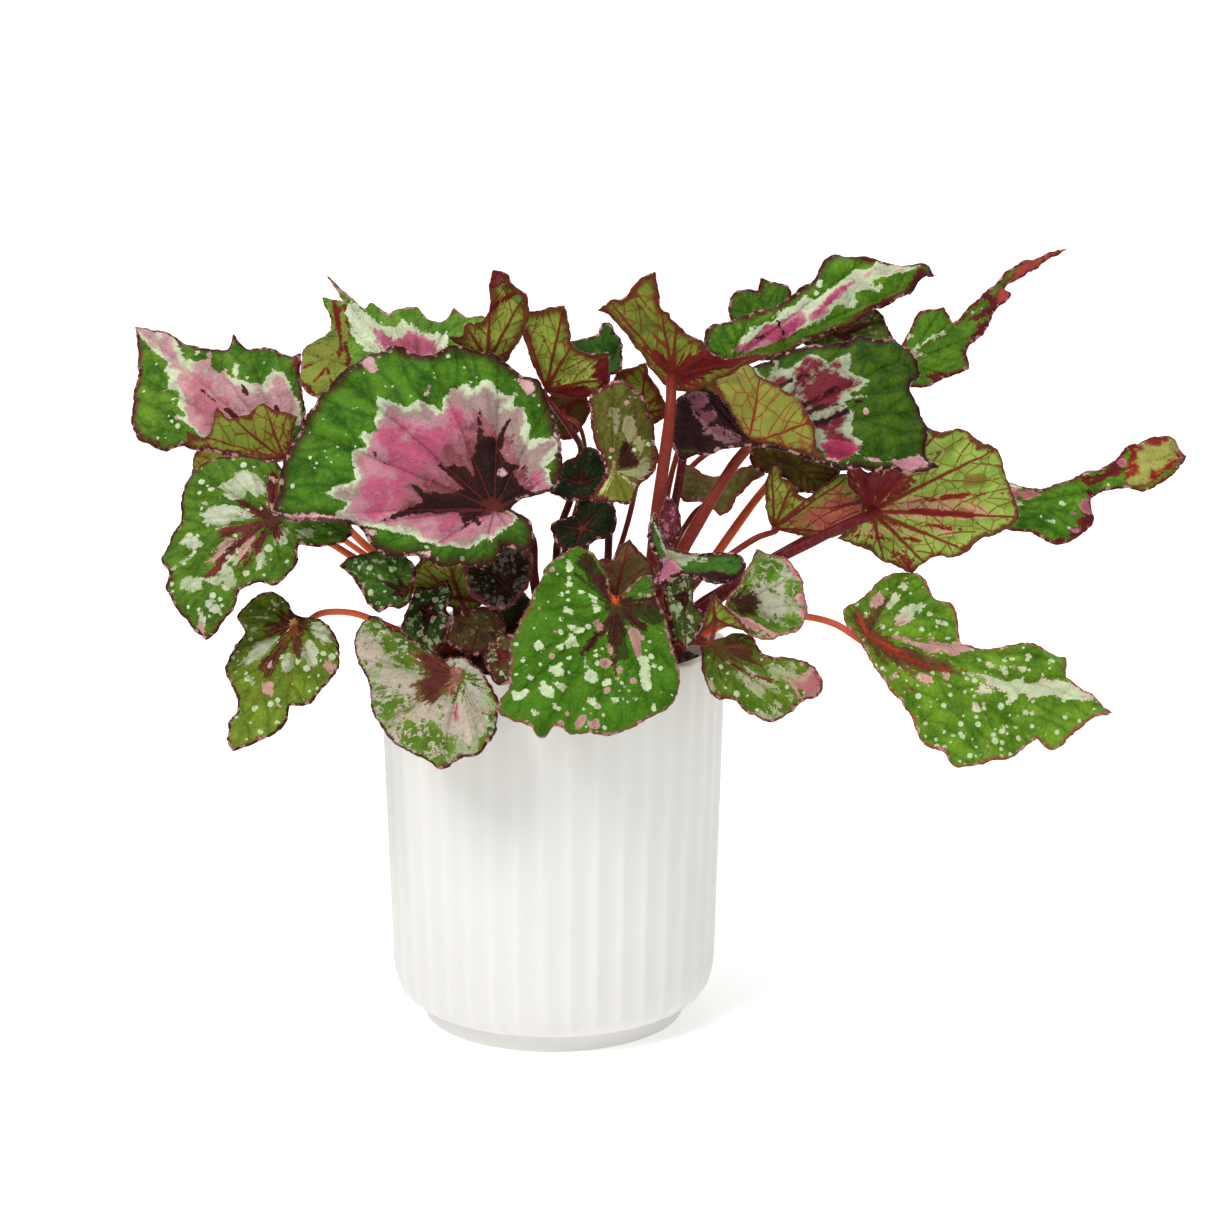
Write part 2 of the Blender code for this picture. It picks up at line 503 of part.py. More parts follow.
def apply(obj, modifier):
    """Applies one modifier"""
    bpy.ops.object.select_all(action="DESELECT")
    bpy.context.view_layer.objects.active = obj
    obj.select_set(True)
    bpy.ops.object.modifier_apply(modifier=modifier.name)


def turned(name, profile, steps, group, look=None):
    """Solid turned about Z from (radius, height) pairs that run down its outer side"""
    mesh = bpy.data.meshes.new(name)
    points = [(r * MM, 0, z * MM) for r, z in profile]
    mesh.from_pydata(points, [(k, k + 1) for k in range(len(points) - 1)], [])
    obj = place(bpy.data.objects.new(name, mesh), group)
    screw = obj.modifiers.new("Turn", "SCREW")
    screw.steps = screw.render_steps = steps
    screw.use_merge_vertices = True
    screw.merge_threshold = 0.00001
    apply(obj, screw)
    if look:
        obj.data.materials.append(look)
    obj.data.shade_smooth()
    obj.data.set_sharp_from_angle(angle=math.radians(28))
    return obj


def smooth(points):
    """The points with one more between each pair, on a smooth curve"""
    points = np.asarray(points, float)
    padded = np.vstack([2 * points[0] - points[1], points, 2 * points[-1] - points[-2]])
    a, b, c, d = (padded[k:k + len(points) - 1] for k in range(4))
    between = (9 * (b + c) - a - d) / 16
    return np.vstack([np.stack([b, between], 1).reshape(-1, 3), points[-1:]])


def tube(name, points, radii, group):
    """Round tube along the points, as a mesh with welded caps"""
    curve = bpy.data.curves.new(name, "CURVE")
    curve.dimensions = "3D"
    curve.bevel_depth = MM
    curve.bevel_resolution = 1
    curve.use_fill_caps = True
    spline = curve.splines.new("POLY")
    spline.points.add(len(points) - 1)
    for point, place_at, radius in zip(spline.points, points, radii):
        point.co = (*(place_at * MM), 1)
        point.radius = radius
    line = bpy.data.objects.new(name + " line", curve)
    bpy.context.scene.collection.objects.link(line)
    bpy.context.view_layer.update()
    mesh = bpy.data.meshes.new_from_object(line.evaluated_get(bpy.context.evaluated_depsgraph_get()))
    obj = bpy.data.objects.new(name, mesh)
    obj.matrix_world = line.matrix_world
    bpy.data.objects.remove(line)
    weld = bmesh.new()
    weld.from_mesh(mesh)
    bmesh.ops.remove_doubles(weld, verts=weld.verts, dist=0.00001)
    weld.to_mesh(mesh)
    weld.free()
    return place(obj, group)


def behind(x, z, origin, up):
    """The plane's point that is seen at (x, z) of the upright plane through the axis"""
    ray = np.array([x, 0, z]) - VIEWPOINT
    return VIEWPOINT + ray * ((origin - VIEWPOINT) @ up) / (ray @ up)


def at_depth(x, z, depth):
    """The point at this depth that is seen at (x, z)"""
    return behind(x, z, np.array([0, depth, 0]), np.array([0, 1, 0]))


def seat(leaf):
    """A blade's junction, its two directions along the plane and its upper side's direction"""
    up = leaf["face"] * np.array([leaf["tilt"][0], -1, leaf["tilt"][1]])
    up = up / np.linalg.norm(up)
    across = np.array([1, 0, 0]) - up[0] * up
    across = across / np.linalg.norm(across)
    return at_depth(*leaf["seat"]), across, np.cross(up, across), up


def flat(points, frame):
    """Drawn points as places on the blade's plane"""
    origin, across, along, up = frame
    found = np.array([behind(x, z, origin, up) for x, z in points]) - origin
    return np.stack([found @ across, found @ along], 1)


def inside(points, loop):
    """Which of the points lie within the loop"""
    x, y = points[:, :1], points[:, 1:]
    a, b = loop, np.roll(loop, -1, 0)
    rise = np.where(a[:, 1] == b[:, 1], 1e-9, b[:, 1] - a[:, 1])
    crosses = (a[:, 1] > y) != (b[:, 1] > y)
    return (crosses & (x < a[:, 0] + (y - a[:, 1]) * (b[:, 0] - a[:, 0]) / rise)).sum(1) % 2 == 1


def nearest(points, starts, ends):
    """Distance to the nearest segment, and the place along the row of segments"""
    run = ends - starts
    off = points[:, None] - starts
    t = np.clip((off * run).sum(2) / (run * run).sum(1), 0, 1)
    far = np.linalg.norm(off - t[..., None] * run, axis=2)
    k = far.argmin(1)
    row = np.arange(len(points))
    return far[row, k], k + t[row, k]


def margin(leaf, frame):
    """The blade's edge on its plane, and the ends of its main ribs"""
    edge = flat([*leaf["first"], leaf["tip"], *leaf["second"]], frame)
    tip = len(leaf["first"])
    ribs = edge[tip % RIB_STEP::RIB_STEP]
    turn = np.cross(edge[:-1], edge[1:])
    sweep = np.arctan2(turn, (edge[:-1] * edge[1:]).sum(1)).sum()
    if abs(sweep) < SINUS_LIMIT:
        edge = np.vstack([edge, [[0, 0]]])
    return edge, ribs


def relief(points, edge, ribs):
    """Height over the plane: domed, creased along the ribs and waved along the edge"""
    reach = np.linalg.norm(points, axis=1)
    rim, at = nearest(points, edge, np.roll(edge, -1, 0))
    rib, _ = nearest(points, np.zeros_like(ribs), ribs)
    part = reach / (reach + rim + 1e-6)
    dome = 2 * DOME * reach * (1 - part)
    fold = 4 * FOLD * reach * (1 - part) * np.exp(-((rib / RIB_WIDTH) ** 2))
    wave = WAVE * reach * part**2 * np.cos(math.pi * at) * np.exp(-rim / WAVE_REACH)
    return dome - fold + wave


def sheet(loop, ribs):
    """The loop filled with even triangles that follow the ribs"""
    area = np.cross(loop, np.roll(loop, -1, 0)).sum()
    loop = loop if area > 0 else loop[::-1]
    low, high = loop.min(0), loop.max(0)
    rows = np.arange(low[1], high[1], CELL * math.sqrt(0.75))
    wanted = [np.zeros((1, 2))]
    for end in ribs:
        length = np.linalg.norm(end)
        wanted.append(np.arange(CELL, length, CELL)[:, None] * end / length)
    for k, y in enumerate(rows):
        x = np.arange(low[0] + CELL / 2 * (k % 2), high[0], CELL)
        wanted.append(np.stack([x, np.full(len(x), y)], 1))
    wanted = np.vstack(wanted)
    rim, _ = nearest(wanted, loop, np.roll(loop, -1, 0))
    kept = []
    for point in wanted[inside(wanted, loop) & (rim > EDGE_ROOM)]:
        if all(np.linalg.norm(point - other) > POINT_ROOM for other in kept):
            kept.append(point)
    flat_points = [Vector(p) for p in [*loop, *kept]]
    found = delaunay_2d_cdt(flat_points, [], [list(range(len(loop)))], 1, 1e-5)
    return np.array([tuple(p) for p in found[0]]), found[2]


def blade(name, places, heights, faces, frame, side, group, look=None):
    """Blade of even thickness on its plane, with its origin at the junction"""
    origin, across, along, up = frame
    mesh = bpy.data.meshes.new(name)
    points = places @ np.array([across, along]) + heights[:, None] * up
    mesh.from_pydata((points * MM).tolist(), [], [list(f) for f in faces])
    obj = place(bpy.data.objects.new(name, mesh), group, look)
    obj.location = origin * MM
    solid = obj.modifiers.new("Thickness", "SOLIDIFY")
    solid.thickness = BLADE * MM
    solid.offset = side
    return obj


# Start from an empty scene
for old in list(bpy.data.objects):
    bpy.data.objects.remove(old)
parts = collection("Alaska Creek begonia")
cutters = collection("Cutters", shown=False)
plant = bpy.data.objects.new("plant", None)
parts.objects.link(plant)

# Pot: turned body, then flutes pressed into its outer wall between sharp arrises
inner_top = RIM_RADIUS - WALL
inner_low = FOOT_RADIUS + 9
pot = turned("pot", [
    (0, FLOOR), (FLOOR_RADIUS, FLOOR), (inner_low, INNER_BEND), (inner_top, POT_HEIGHT),
    (RIM_RADIUS - 1, POT_HEIGHT),
    (RIM_RADIUS, POT_HEIGHT - 1.5), (71, 26), (69.8, 19), (67.2, 13.5), (63, FOOT_HEIGHT),
    (FOOT_RADIUS, FOOT_HEIGHT), (FOOT_RADIUS, 0), (0, 0),
], FLUTES * COLUMNS_PER_FLUTE, parts, material("glazed white", "ceramic", 0.45))
for vertex in pot.data.vertices:
    radius = math.hypot(vertex.co.x, vertex.co.y) / MM
    height = vertex.co.z / MM
    inner = np.interp(height, [FLOOR, INNER_BEND, POT_HEIGHT], [FLOOR_RADIUS, inner_low, inner_top])
    if height > FOOT_HEIGHT - 0.5 and radius > inner + 1:
        turn = math.atan2(vertex.co.y, vertex.co.x) * FLUTES / 2
        vertex.co.xy *= 1 - FLUTE_DEPTH * abs(math.sin(turn)) / radius
pot.rotation_euler.z = math.radians(FLUTE_TURN)

# Soil: fills the pot, with a plain hole for each crown's peg
filled = (SOIL_TOP - INNER_BEND) / (POT_HEIGHT - INNER_BEND)
soil_top_radius = inner_low + (inner_top - inner_low) * filled
soil = turned("soil", [
    (0, SOIL_TOP), (62, SOIL_TOP), (soil_top_radius - GAP - 0.2, SOIL_TOP - 1.5),
    (inner_low - GAP - 0.1, INNER_BEND), (FLOOR_RADIUS - GAP, FLOOR + GAP), (0, FLOOR + GAP),
], 60, parts, material("potting soil", "soil", 0.95))
for name, (x, y) in CROWNS.items():
    bpy.ops.mesh.primitive_cylinder_add(
        vertices=24, radius=(PEG_RADIUS + GAP) * MM, depth=2 * (PEG_DEPTH + GAP) * MM,
        location=(x * MM, y * MM, SOIL_TOP * MM))
    hole = place(bpy.context.object, cutters)
    hole.name = f"hole {name}"
    cut = soil.modifiers.new(f"Hole {name}", "BOOLEAN")
    cut.operation = "DIFFERENCE"
    cut.solver = "EXACT"
    cut.object = hole

# Crowns: a knobbly rhizome on a peg, with its stalks grown on it
stalk_look = material("crimson stalk", "stalk", 0.5)
seats = {name: seat(leaf) for name, leaf in LEAVES.items()}
for crown, (x, y) in CROWNS.items():
    under = SOIL_TOP + GAP
    body = turned(f"crown_{crown}", [
        (0, CROWN_TOP), (5, CROWN_TOP - 0.5), (10, CROWN_TOP - 3.5), (CROWN_RADIUS, CROWN_TOP - 9),
        (CROWN_RADIUS, under + 2), (CROWN_RADIUS - 1.5, under), (PEG_RADIUS, under),
        (PEG_RADIUS, SOIL_TOP - PEG_DEPTH), (0, SOIL_TOP - PEG_DEPTH),
    ], 16, parts, stalk_look)
    body.location = (x * MM, y * MM, 0)
    grown = collection(f"Grown on {crown}", shown=False)
    for k in range(KNOBS):
        turn = 2 * math.pi * k / KNOBS + x
        bpy.ops.mesh.primitive_ico_sphere_add(subdivisions=2, radius=KNOB_RADIUS * MM, location=(
            (x + CROWN_RADIUS * math.cos(turn)) * MM, (y + CROWN_RADIUS * math.sin(turn)) * MM,
            (KNOB_HEIGHT + k) * MM))
        place(bpy.context.object, grown)
    for name, (home, radius, between) in STALKS.items():
        if home != crown:
            continue
        origin, _, _, up = seats[name]
        points = [at_depth(*p) for p in between]
        lean = (points[0] - [x, y, 0]) * [1, 1, 0]
        root = np.array([x, y, CROWN_TOP - ROOT_REACH]) + ROOT_REACH * lean / np.linalg.norm(lean)
        near, end = origin - STALK_TURN * up, origin - (BLADE + SEAT_GAP) * up
        points = [root, *[p for p in points if np.linalg.norm(p - near) > STALK_TURN], near, end]
        path = smooth(points)
        tube(f"stalk {name}", path, np.linspace(radius, 0.6 * radius, len(path)), grown)
    join = body.modifiers.new("Grown", "BOOLEAN")
    join.operation = "UNION"
    join.operand_type = "COLLECTION"
    join.solver = "EXACT"
    join.collection = grown
    apply(body, join)
    for old in list(grown.objects):
        bpy.data.objects.remove(old)
    bpy.data.collections.remove(grown)

# Blades
for name, leaf in LEAVES.items():
    frame = seats[name]
    edge, ribs = margin(leaf, frame)
    places, faces = sheet(edge, ribs)
    look = material(f"leaf {name}", leaf["tint"], 0.55)
    leaf_body = blade(f"leaf_{name}", places, relief(places, edge, ribs), faces, frame, -1, parts, look)
    if name in FLAPS:
        flap = FLAPS[name]
        loop = flat(flap["edge"], frame)
        hinge = flat(flap["hinge"], frame)
        places, faces = sheet(loop, np.zeros((0, 2)))
        line = (hinge[1] - hinge[0]) / np.linalg.norm(hinge[1] - hinge[0])
        away = np.abs(np.cross(places - hinge[0], line))
        lift = flap["lift"] * (1 - np.exp(-((away / FLAP_RISE) ** 2)))
        heights = relief(places, edge, ribs) + lift - FLAP_SINK
        folded = blade(f"flap {name}", places, heights, faces, frame, 1, cutters)
        join = leaf_body.modifiers.new("Flap", "BOOLEAN")
        join.operation = "UNION"
        join.solver = "EXACT"
        join.object = folded
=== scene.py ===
# Looks for the potted rex begonia: fluted glazed pot, soil, hairy stalks and marked leaves.
# Blades are drawn flat, as seen from drawnFrom, and each lies on its own tilted plane. Sizes are in mm.
import math

import bpy
import numpy as np
from mathutils import Matrix, Vector
from mathutils.geometry import delaunay_2d_cdt


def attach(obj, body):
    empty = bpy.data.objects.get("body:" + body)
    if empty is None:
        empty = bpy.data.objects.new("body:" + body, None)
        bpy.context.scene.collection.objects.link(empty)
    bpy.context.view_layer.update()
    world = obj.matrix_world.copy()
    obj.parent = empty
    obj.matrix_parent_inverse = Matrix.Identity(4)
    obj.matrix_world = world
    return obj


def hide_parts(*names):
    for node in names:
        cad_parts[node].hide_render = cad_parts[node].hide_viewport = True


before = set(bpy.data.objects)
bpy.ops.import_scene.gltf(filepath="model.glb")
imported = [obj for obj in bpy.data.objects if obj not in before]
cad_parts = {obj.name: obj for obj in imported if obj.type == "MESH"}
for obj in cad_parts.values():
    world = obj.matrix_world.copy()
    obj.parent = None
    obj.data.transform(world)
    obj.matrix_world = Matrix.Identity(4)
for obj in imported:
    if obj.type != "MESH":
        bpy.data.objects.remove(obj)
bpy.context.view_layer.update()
mm = 0.001
drawnFrom = np.array([23.5, -1220.4, 452.5])


def tone(red, green, blue):  # a screen colour from 0 to 255, made linear
    steps = [v / 255 for v in (red, green, blue)]
    return tuple(v / 12.92 if v < 0.04 else ((v + 0.055) / 1.055) ** 2.4 for v in steps)


# Shader maths: a signal is a node's output that takes part in Python arithmetic
class Signal:
    def __init__(self, paint, socket):
        self.paint = paint
        self.socket = socket

    def math(self, operation, other=None, swap=False):
        pair = [self] if other is None else [other, self] if swap else [self, other]
        return self.paint.node("Math", {"operation": operation}, dict(enumerate(pair)))

    def __add__(self, other):
        return self.math("ADD", other)

    def __sub__(self, other):
        return self.math("SUBTRACT", other)

    def __rsub__(self, other):
        return self.math("SUBTRACT", other, swap=True)

    def __mul__(self, other):
        return self.math("MULTIPLY", other)

    __radd__ = __add__
    __rmul__ = __mul__


class Paint:
    def __init__(self, name, roughness=0.5, **fixed):
        self.material = bpy.data.materials.new(name)
        self.material.use_nodes = True
        self.tree = self.material.node_tree
        self.shader = self.tree.nodes["Principled BSDF"]
        self.shader.inputs["Roughness"].default_value = roughness
        for socket, value in fixed.items():
            self.shader.inputs[socket.replace("_", " ")].default_value = value

    def node(self, kind, settings=None, sockets=None, out=0):
        made = self.tree.nodes.new("ShaderNode" + kind)
        for key, value in (settings or {}).items():
            setattr(made, key, value)
        for key, value in (sockets or {}).items():
            if isinstance(value, Signal):
                self.tree.links.new(value.socket, made.inputs[key])
            else:
                made.inputs[key].default_value = value
        return Signal(self, made.outputs[out])

    def split(self, vector):
        parts = self.node("SeparateXYZ", None, {0: vector})
        return [Signal(self, socket) for socket in parts.socket.node.outputs]

    def field(self, name):  # three numbers kept at each vertex
        return self.node("Attribute", {"attribute_name": name}, out="Vector")

    def here(self):
        return self.node("TexCoord", out="Object")

    def noise(self, place, scale, detail=3, rough=0.55, out=0):
        return self.node("TexNoise", None, {
            "Vector": place, "Scale": scale, "Detail": detail, "Roughness": rough}, out)

    def cells(self, place, scale, feature="F1", out="Distance"):
        return self.node("TexVoronoi", {"feature": feature}, {"Vector": place, "Scale": scale}, out)

    def step(self, value, low, high):  # 0 below low, 1 above high, smooth between
        return self.node("MapRange", {"interpolation_type": "SMOOTHSTEP"}, {
            "Value": value, "From Min": low, "From Max": high})

    def near(self, distance, full, none):  # 1 up to the first distance, 0 from the second
        return 1 - self.step(distance, full, none)

    def mix(self, factor, low, high):
        sockets = {0: factor, 6: low, 7: high}
        for key in (6, 7):
            if not isinstance(sockets[key], Signal):
                sockets[key] = (*sockets[key][:3], 1)
        return self.node("Mix", {"data_type": "RGBA"}, sockets, out=2)

    def vector(self, operation, a, b=None):
        sockets = {0: a} if b is None else {0: a, 1: b}
        return self.node("VectorMath", {"operation": operation}, sockets)

    def shade(self, colour, amount):  # the colour, darker or lighter by a number near 1
        return self.node("VectorMath", {"operation": "SCALE"}, {0: colour, "Scale": amount})

    def finish(self, colour, height=None, relief=0.2, roughness=None):  # relief in mm
        self.tree.links.new(colour.socket, self.shader.inputs["Base Color"])
        if roughness:
            self.tree.links.new(roughness.socket, self.shader.inputs["Roughness"])
        if height:
            bump = self.node("Bump", None, {"Height": height, "Distance": relief * mm})
            self.tree.links.new(bump.socket, self.shader.inputs["Normal"])
        return self.material


# Mesh helpers
def deselect():
    if bpy.context.mode != "OBJECT":
        bpy.ops.object.mode_set(mode="OBJECT")
    bpy.ops.object.select_all(action="DESELECT")


def pick(obj):
    deselect()
    obj.select_set(True)
    bpy.context.view_layer.objects.active = obj
    return obj


def meshed(name, points, faces, looks=(), edges=()):  # points in mm
    mesh = bpy.data.meshes.new(name)
    mesh.from_pydata((np.asarray(points, float) * mm).tolist(), list(edges), list(faces))
    obj = bpy.data.objects.new(name, mesh)
    bpy.context.scene.collection.objects.link(obj)
    for look in looks:
        mesh.materials.append(look)
    return obj


def joined(name, pieces):
    deselect()
    for piece in pieces:
        piece.select_set(True)
    bpy.context.view_layer.objects.active = pieces[0]
    bpy.ops.object.join()
    pieces[0].name = name
    return pieces[0]


def settle(obj, node):  # rides on the plant and stands for its node, which it hides
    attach(obj, "root")
    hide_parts(node)
    return obj


def smoothShade(obj, degrees=40):
    pick(obj)
    bpy.ops.object.shade_smooth_by_angle(angle=math.radians(degrees))
    deselect()


def points(obj):  # the mesh's points in mm
    found = np.empty(3 * len(obj.data.vertices))
    obj.data.vertices.foreach_get("co", found)
    return found.reshape(-1, 3) / mm


def setPoints(obj, places):
    obj.data.vertices.foreach_set("co", (places * mm).ravel())
    obj.data.update()


def ripple(places, wave, seed, count=9):  # smooth random heights, about 1 up and down, wave mm long
    draw = np.random.default_rng(seed)
    turns = draw.normal(size=(count, places.shape[1]))
    size = np.linalg.norm(turns, axis=1, keepdims=True)
    turns *= 2 * math.pi / wave * draw.uniform(0.6, 1.5, (count, 1)) / size
    return np.sin(places @ turns.T + draw.uniform(0, 6.28, count)).sum(1) / math.sqrt(count / 2)


# Camera at the photograph's place, floor, backdrop and soft light
studio = dict(
    lens=85.76, sensor=36, eye=(0.0235, -1.2204, 0.4525), down=12.5, aim=(0, 0, 0.2),
    paper=(0.9, 0.9, 0.9), dim=0.985, floor=9, back=3, rise=6, sweep=1.6, sweepParts=16,
    key=dict(place=(-1.0, -1.3, 1.8), size=0.9, power=27),
    fill=dict(place=(1.5, -1.4, 1.1), size=1.8, power=5),
    top=dict(place=(0.05, -0.25, 2.1), size=1.0, power=18),
    world=0.36, glow=0.66, glowNear=0.52, glowFrom=0.0, glowTo=1.3,
)
bpy.context.scene.view_settings.view_transform = "Standard"
camera = bpy.data.objects.new("camera", bpy.data.cameras.new("camera"))
bpy.context.scene.collection.objects.link(camera)
camera.data.lens = studio["lens"]
camera.data.sensor_width = studio["sensor"]
camera.location = studio["eye"]
camera.rotation_euler = (math.radians(90 - studio["down"]), 0, 0)
bpy.context.scene.camera = camera

deselect()
bpy.ops.mesh.primitive_plane_add(size=studio["floor"], location=(0, 0, 0))
floor = bpy.context.object
floor.name = "floor"
for edge in floor.data.edges:  # the far edge rises into a backdrop
    edge.select = all(floor.data.vertices[k].co.y > studio["back"] for k in edge.vertices)
for face in floor.data.polygons:
    face.select = False
for vertex in floor.data.vertices:
    vertex.select = vertex.co.y > studio["back"]
bpy.ops.object.mode_set(mode="EDIT")
bpy.ops.mesh.select_mode(type="EDGE")
bpy.ops.mesh.extrude_region_move(TRANSFORM_OT_translate={"value": (0, 0, studio["rise"])})
bpy.ops.object.mode_set(mode="OBJECT")
sweep = floor.modifiers.new("Sweep", "BEVEL")
sweep.width = studio["sweep"]
sweep.segments = studio["sweepParts"]
bpy.ops.object.modifier_apply(modifier="Sweep")
smoothShade(floor)
paper = Paint("studio paper", 0.7)
dim = [studio["dim"] * v for v in studio["paper"]]
_, away, _ = paper.split(paper.here())
shine = paper.step(away, studio["glowFrom"], studio["glowTo"])
shine = paper.mix(shine, [studio["glowNear"]] * 3, (1, 1, 1))
paper.tree.links.new(shine.socket, paper.shader.inputs["Emission Color"])
paper.shader.inputs["Emission Strength"].default_value = studio["glow"]
floor.data.materials.append(paper.finish(paper.mix(paper.noise(paper.here(), 3), studio["paper"], dim)))

for name in ("key", "fill", "top"):
    lamp = bpy.data.objects.new(name, bpy.data.lights.new(name, "AREA"))
    bpy.context.scene.collection.objects.link(lamp)
    lamp.data.size = studio[name]["size"]
    lamp.data.energy = studio[name]["power"]
    lamp.location = studio[name]["place"]
    lamp.rotation_euler = (Vector(studio["aim"]) - lamp.location).to_track_quat("-Z", "Y").to_euler()
world = bpy.data.worlds.new("studio")
bpy.context.scene.world = world
world.use_nodes = True
world.node_tree.nodes["Background"].inputs["Color"].default_value = (1, 1, 1, 1)
world.node_tree.nodes["Background"].inputs["Strength"].default_value = studio["world"]
print("camera, floor and light are set")


# Pot: a profile spun round, then concave flutes pressed in between fine ridges
pot = dict(
    height=168, rim=75, innerTop=70, innerLow=66, bend=22, base=14, baseRadius=61, foot=57, footHeight=9,
    flutes=40, columns=14, depth=0.95, ridge=0.012, turn=-2.5, skin=1, skinFade=2.4, cornerAngle=50,
    # shade is the glaze's darker tone: painted shade in the flutes, and random clouding
    glaze=tone(231, 229, 225), shade=tone(221, 219, 214), roughness=0.46, roughCloud=0.16,
    fluteShade=0.45, cloudShade=0.4, cloud=28, speck=tone(150, 142, 128), speckShade=0.35, relief=0.05,
)


def bend(start, control, end, parts):  # points on a curve that leaves start and comes to end
    t = np.linspace(0, 1, parts + 1)[:, None]
    row = (1 - t) ** 2 * np.array(start) + 2 * t * (1 - t) * np.array(control) + t * t * np.array(end)
    return row.tolist()


def spun(name, profile, steps, looks):  # closed form from (radius, height) pairs
    row = [(r, 0, z) for r, z in profile]
    obj = pick(meshed(name, row, [], looks, [(k, k + 1) for k in range(len(row) - 1)]))
    bpy.ops.object.mode_set(mode="EDIT")
    bpy.ops.mesh.select_all(action="SELECT")
    bpy.ops.mesh.spin(steps=steps, angle=2 * math.pi, center=(0, 0, 0), axis=(0, 0, 1))
    bpy.ops.mesh.select_all(action="SELECT")
    bpy.ops.mesh.remove_doubles(threshold=0.00001)
    bpy.ops.mesh.normals_make_consistent(inside=False)
    bpy.ops.object.mode_set(mode="OBJECT")
    return obj


def glazeLook():
    paint = Paint("matt white glaze", pot["roughness"], Coat_Weight=0.12, Coat_Roughness=0.3)
    place = paint.here()
    x, y, z = paint.split(place)
    around = paint.node("Math", {"operation": "ARCTAN2"}, {0: y, 1: x}) - math.radians(pot["turn"])
    valley = (around * (pot["flutes"] / 2)).math("SINE").math("ABSOLUTE")  # 0 on a ridge, 1 in a flute
    cloud = paint.noise(place, pot["cloud"])
    fluted = paint.step(z, pot["footHeight"] * mm, (pot["footHeight"] + 3) * mm)
    # painted shade: the glaze darkens in each flute above the foot; the cloud adds random darker glaze
    shaded = valley * fluted * pot["fluteShade"] + cloud * pot["cloudShade"]
    colour = paint.mix(shaded, pot["glaze"], pot["shade"])
    specks = paint.near(paint.cells(place, 260), 0.05, 0.09) * paint.step(paint.noise(place, 60), 0.6, 0.68)
    colour = paint.mix(specks * pot["speckShade"], colour, pot["speck"])
    grain = paint.noise(place, 900, 2) * 0.5 + paint.noise(place, 150, 2)
    rough = paint.step(cloud, 0, 1) * pot["roughCloud"] + (pot["roughness"] - 0.06)
    return paint.finish(colour, grain, pot["relief"], rough)


h, rim, foot, step = pot["height"], pot["rim"], pot["foot"], pot["footHeight"]
top, low = pot["innerTop"], pot["innerLow"]
profile = [
    (0, pot["base"]), (40, pot["base"]),
    *bend((pot["baseRadius"] - 4, pot["base"]), (pot["baseRadius"], pot["base"]), (low, pot["bend"]), 7),
    (68, 95), *bend((top, h - 1.2), (top, h), (top + 1.3, h), 4),
    *bend((rim - 1.5, h), (rim, h), (rim, h - 1.6), 6), (74, 130), (73, 96), (72, 62),
    *bend((71, 26), (70.4, 12.5), (63.2, step + 0.15), 14),
    *bend((62.9, step), (62.6, step), (62.3, step), 1),
    *bend((foot + 0.6, step), (foot, step), (foot, step - 0.6), 2),
    *bend((foot, 0.7), (foot, 0), (foot - 0.7, 0), 3), (0, 0),
]
potBody = spun("glazedPot", profile, pot["flutes"] * pot["columns"], [glazeLook()])
places = points(potBody)
radius = np.hypot(places[:, 0], places[:, 1])
height = places[:, 2]
inner = np.interp(height, [pot["base"], pot["bend"], h], [pot["baseRadius"], low, top])
outside = np.clip((radius - inner - pot["skin"]) / pot["skinFade"], 0, 1) * (height > step - 0.5)
wave = np.sin(np.arctan2(places[:, 1], places[:, 0]) * pot["flutes"] / 2) ** 2
press = pot["depth"] * (np.sqrt(wave + pot["ridge"]) - math.sqrt(pot["ridge"])) * outside
places[:, :2] *= (1 - press / np.maximum(radius, 1))[:, None]
setPoints(potBody, places)
potBody.data.transform(Matrix.Rotation(math.radians(pot["turn"]), 4, "Z"))
smoothShade(potBody, pot["cornerAngle"])
settle(potBody, "pot")
print("pot has", len(potBody.data.polygons), "faces")


# Soil: an uneven top on a plain body, strewn with crumbs, bark and a few pale grains
soil = dict(
    top=154.6, edge=69.2, bottom=14.3, low=60.7, bend=(65.6, 22), rings=34, steps=110, uneven=0.9,
    waves=((0.7, 17, 1), (0.45, 5.5, 2), (0.3, 2.4, 3)), strewnTo=66, cornerAngle=45,
    crumbs=1250, crumb=(0.7, 2.3), bark=150, barkSize=(1.6, 4.2), grains=46, grain=(0.7, 1.5), seed=11,
    peat=tone(74, 54, 40), dark=tone(36, 25, 19), chips=tone(112, 78, 52), pale=tone(226, 222, 210),
    paleShade=tone(180, 174, 160), peatScale=420, chipScale=300, paleScale=500,
)


def soilLook(name, light, dark, scale):
    paint = Paint(name, 0.95)
    place = paint.here()
    cloud = paint.noise(place, scale, 6, 0.7)
    colour = paint.mix(paint.step(cloud, 0.36, 0.64), dark, light)
    return paint.finish(colour, paint.noise(place, scale * 3, 4), 0.5)


draw = np.random.default_rng(soil["seed"])
profile = [(r, soil["top"]) for r in np.linspace(0, soil["edge"] - 2, soil["rings"])]
profile += [(soil["edge"], soil["top"] - 1.6), soil["bend"]]
profile += [(soil["low"], soil["bottom"]), (0, soil["bottom"])]
ground = spun("pottingSoil", profile, soil["steps"], [
    soilLook("peat", soil["peat"], soil["dark"], soil["peatScale"]),
    soilLook("bark chips", soil["chips"], soil["dark"], soil["chipScale"]),
    soilLook("pale grains", soil["pale"], soil["paleShade"], soil["paleScale"])])
places = points(ground)
uneven = sum(share * ripple(places[:, :2], wave, seed) for share, wave, seed in soil["waves"])
places[:, 2] += soil["uneven"] * uneven * (places[:, 2] > soil["top"] - 1)
setPoints(ground, places)
bpy.ops.mesh.primitive_ico_sphere_add(subdivisions=1, radius=mm)
crumb = bpy.context.object
crumbPoints = points(crumb)
crumbFaces = np.array([list(f.vertices) for f in crumb.data.polygons])
bpy.data.objects.remove(crumb)


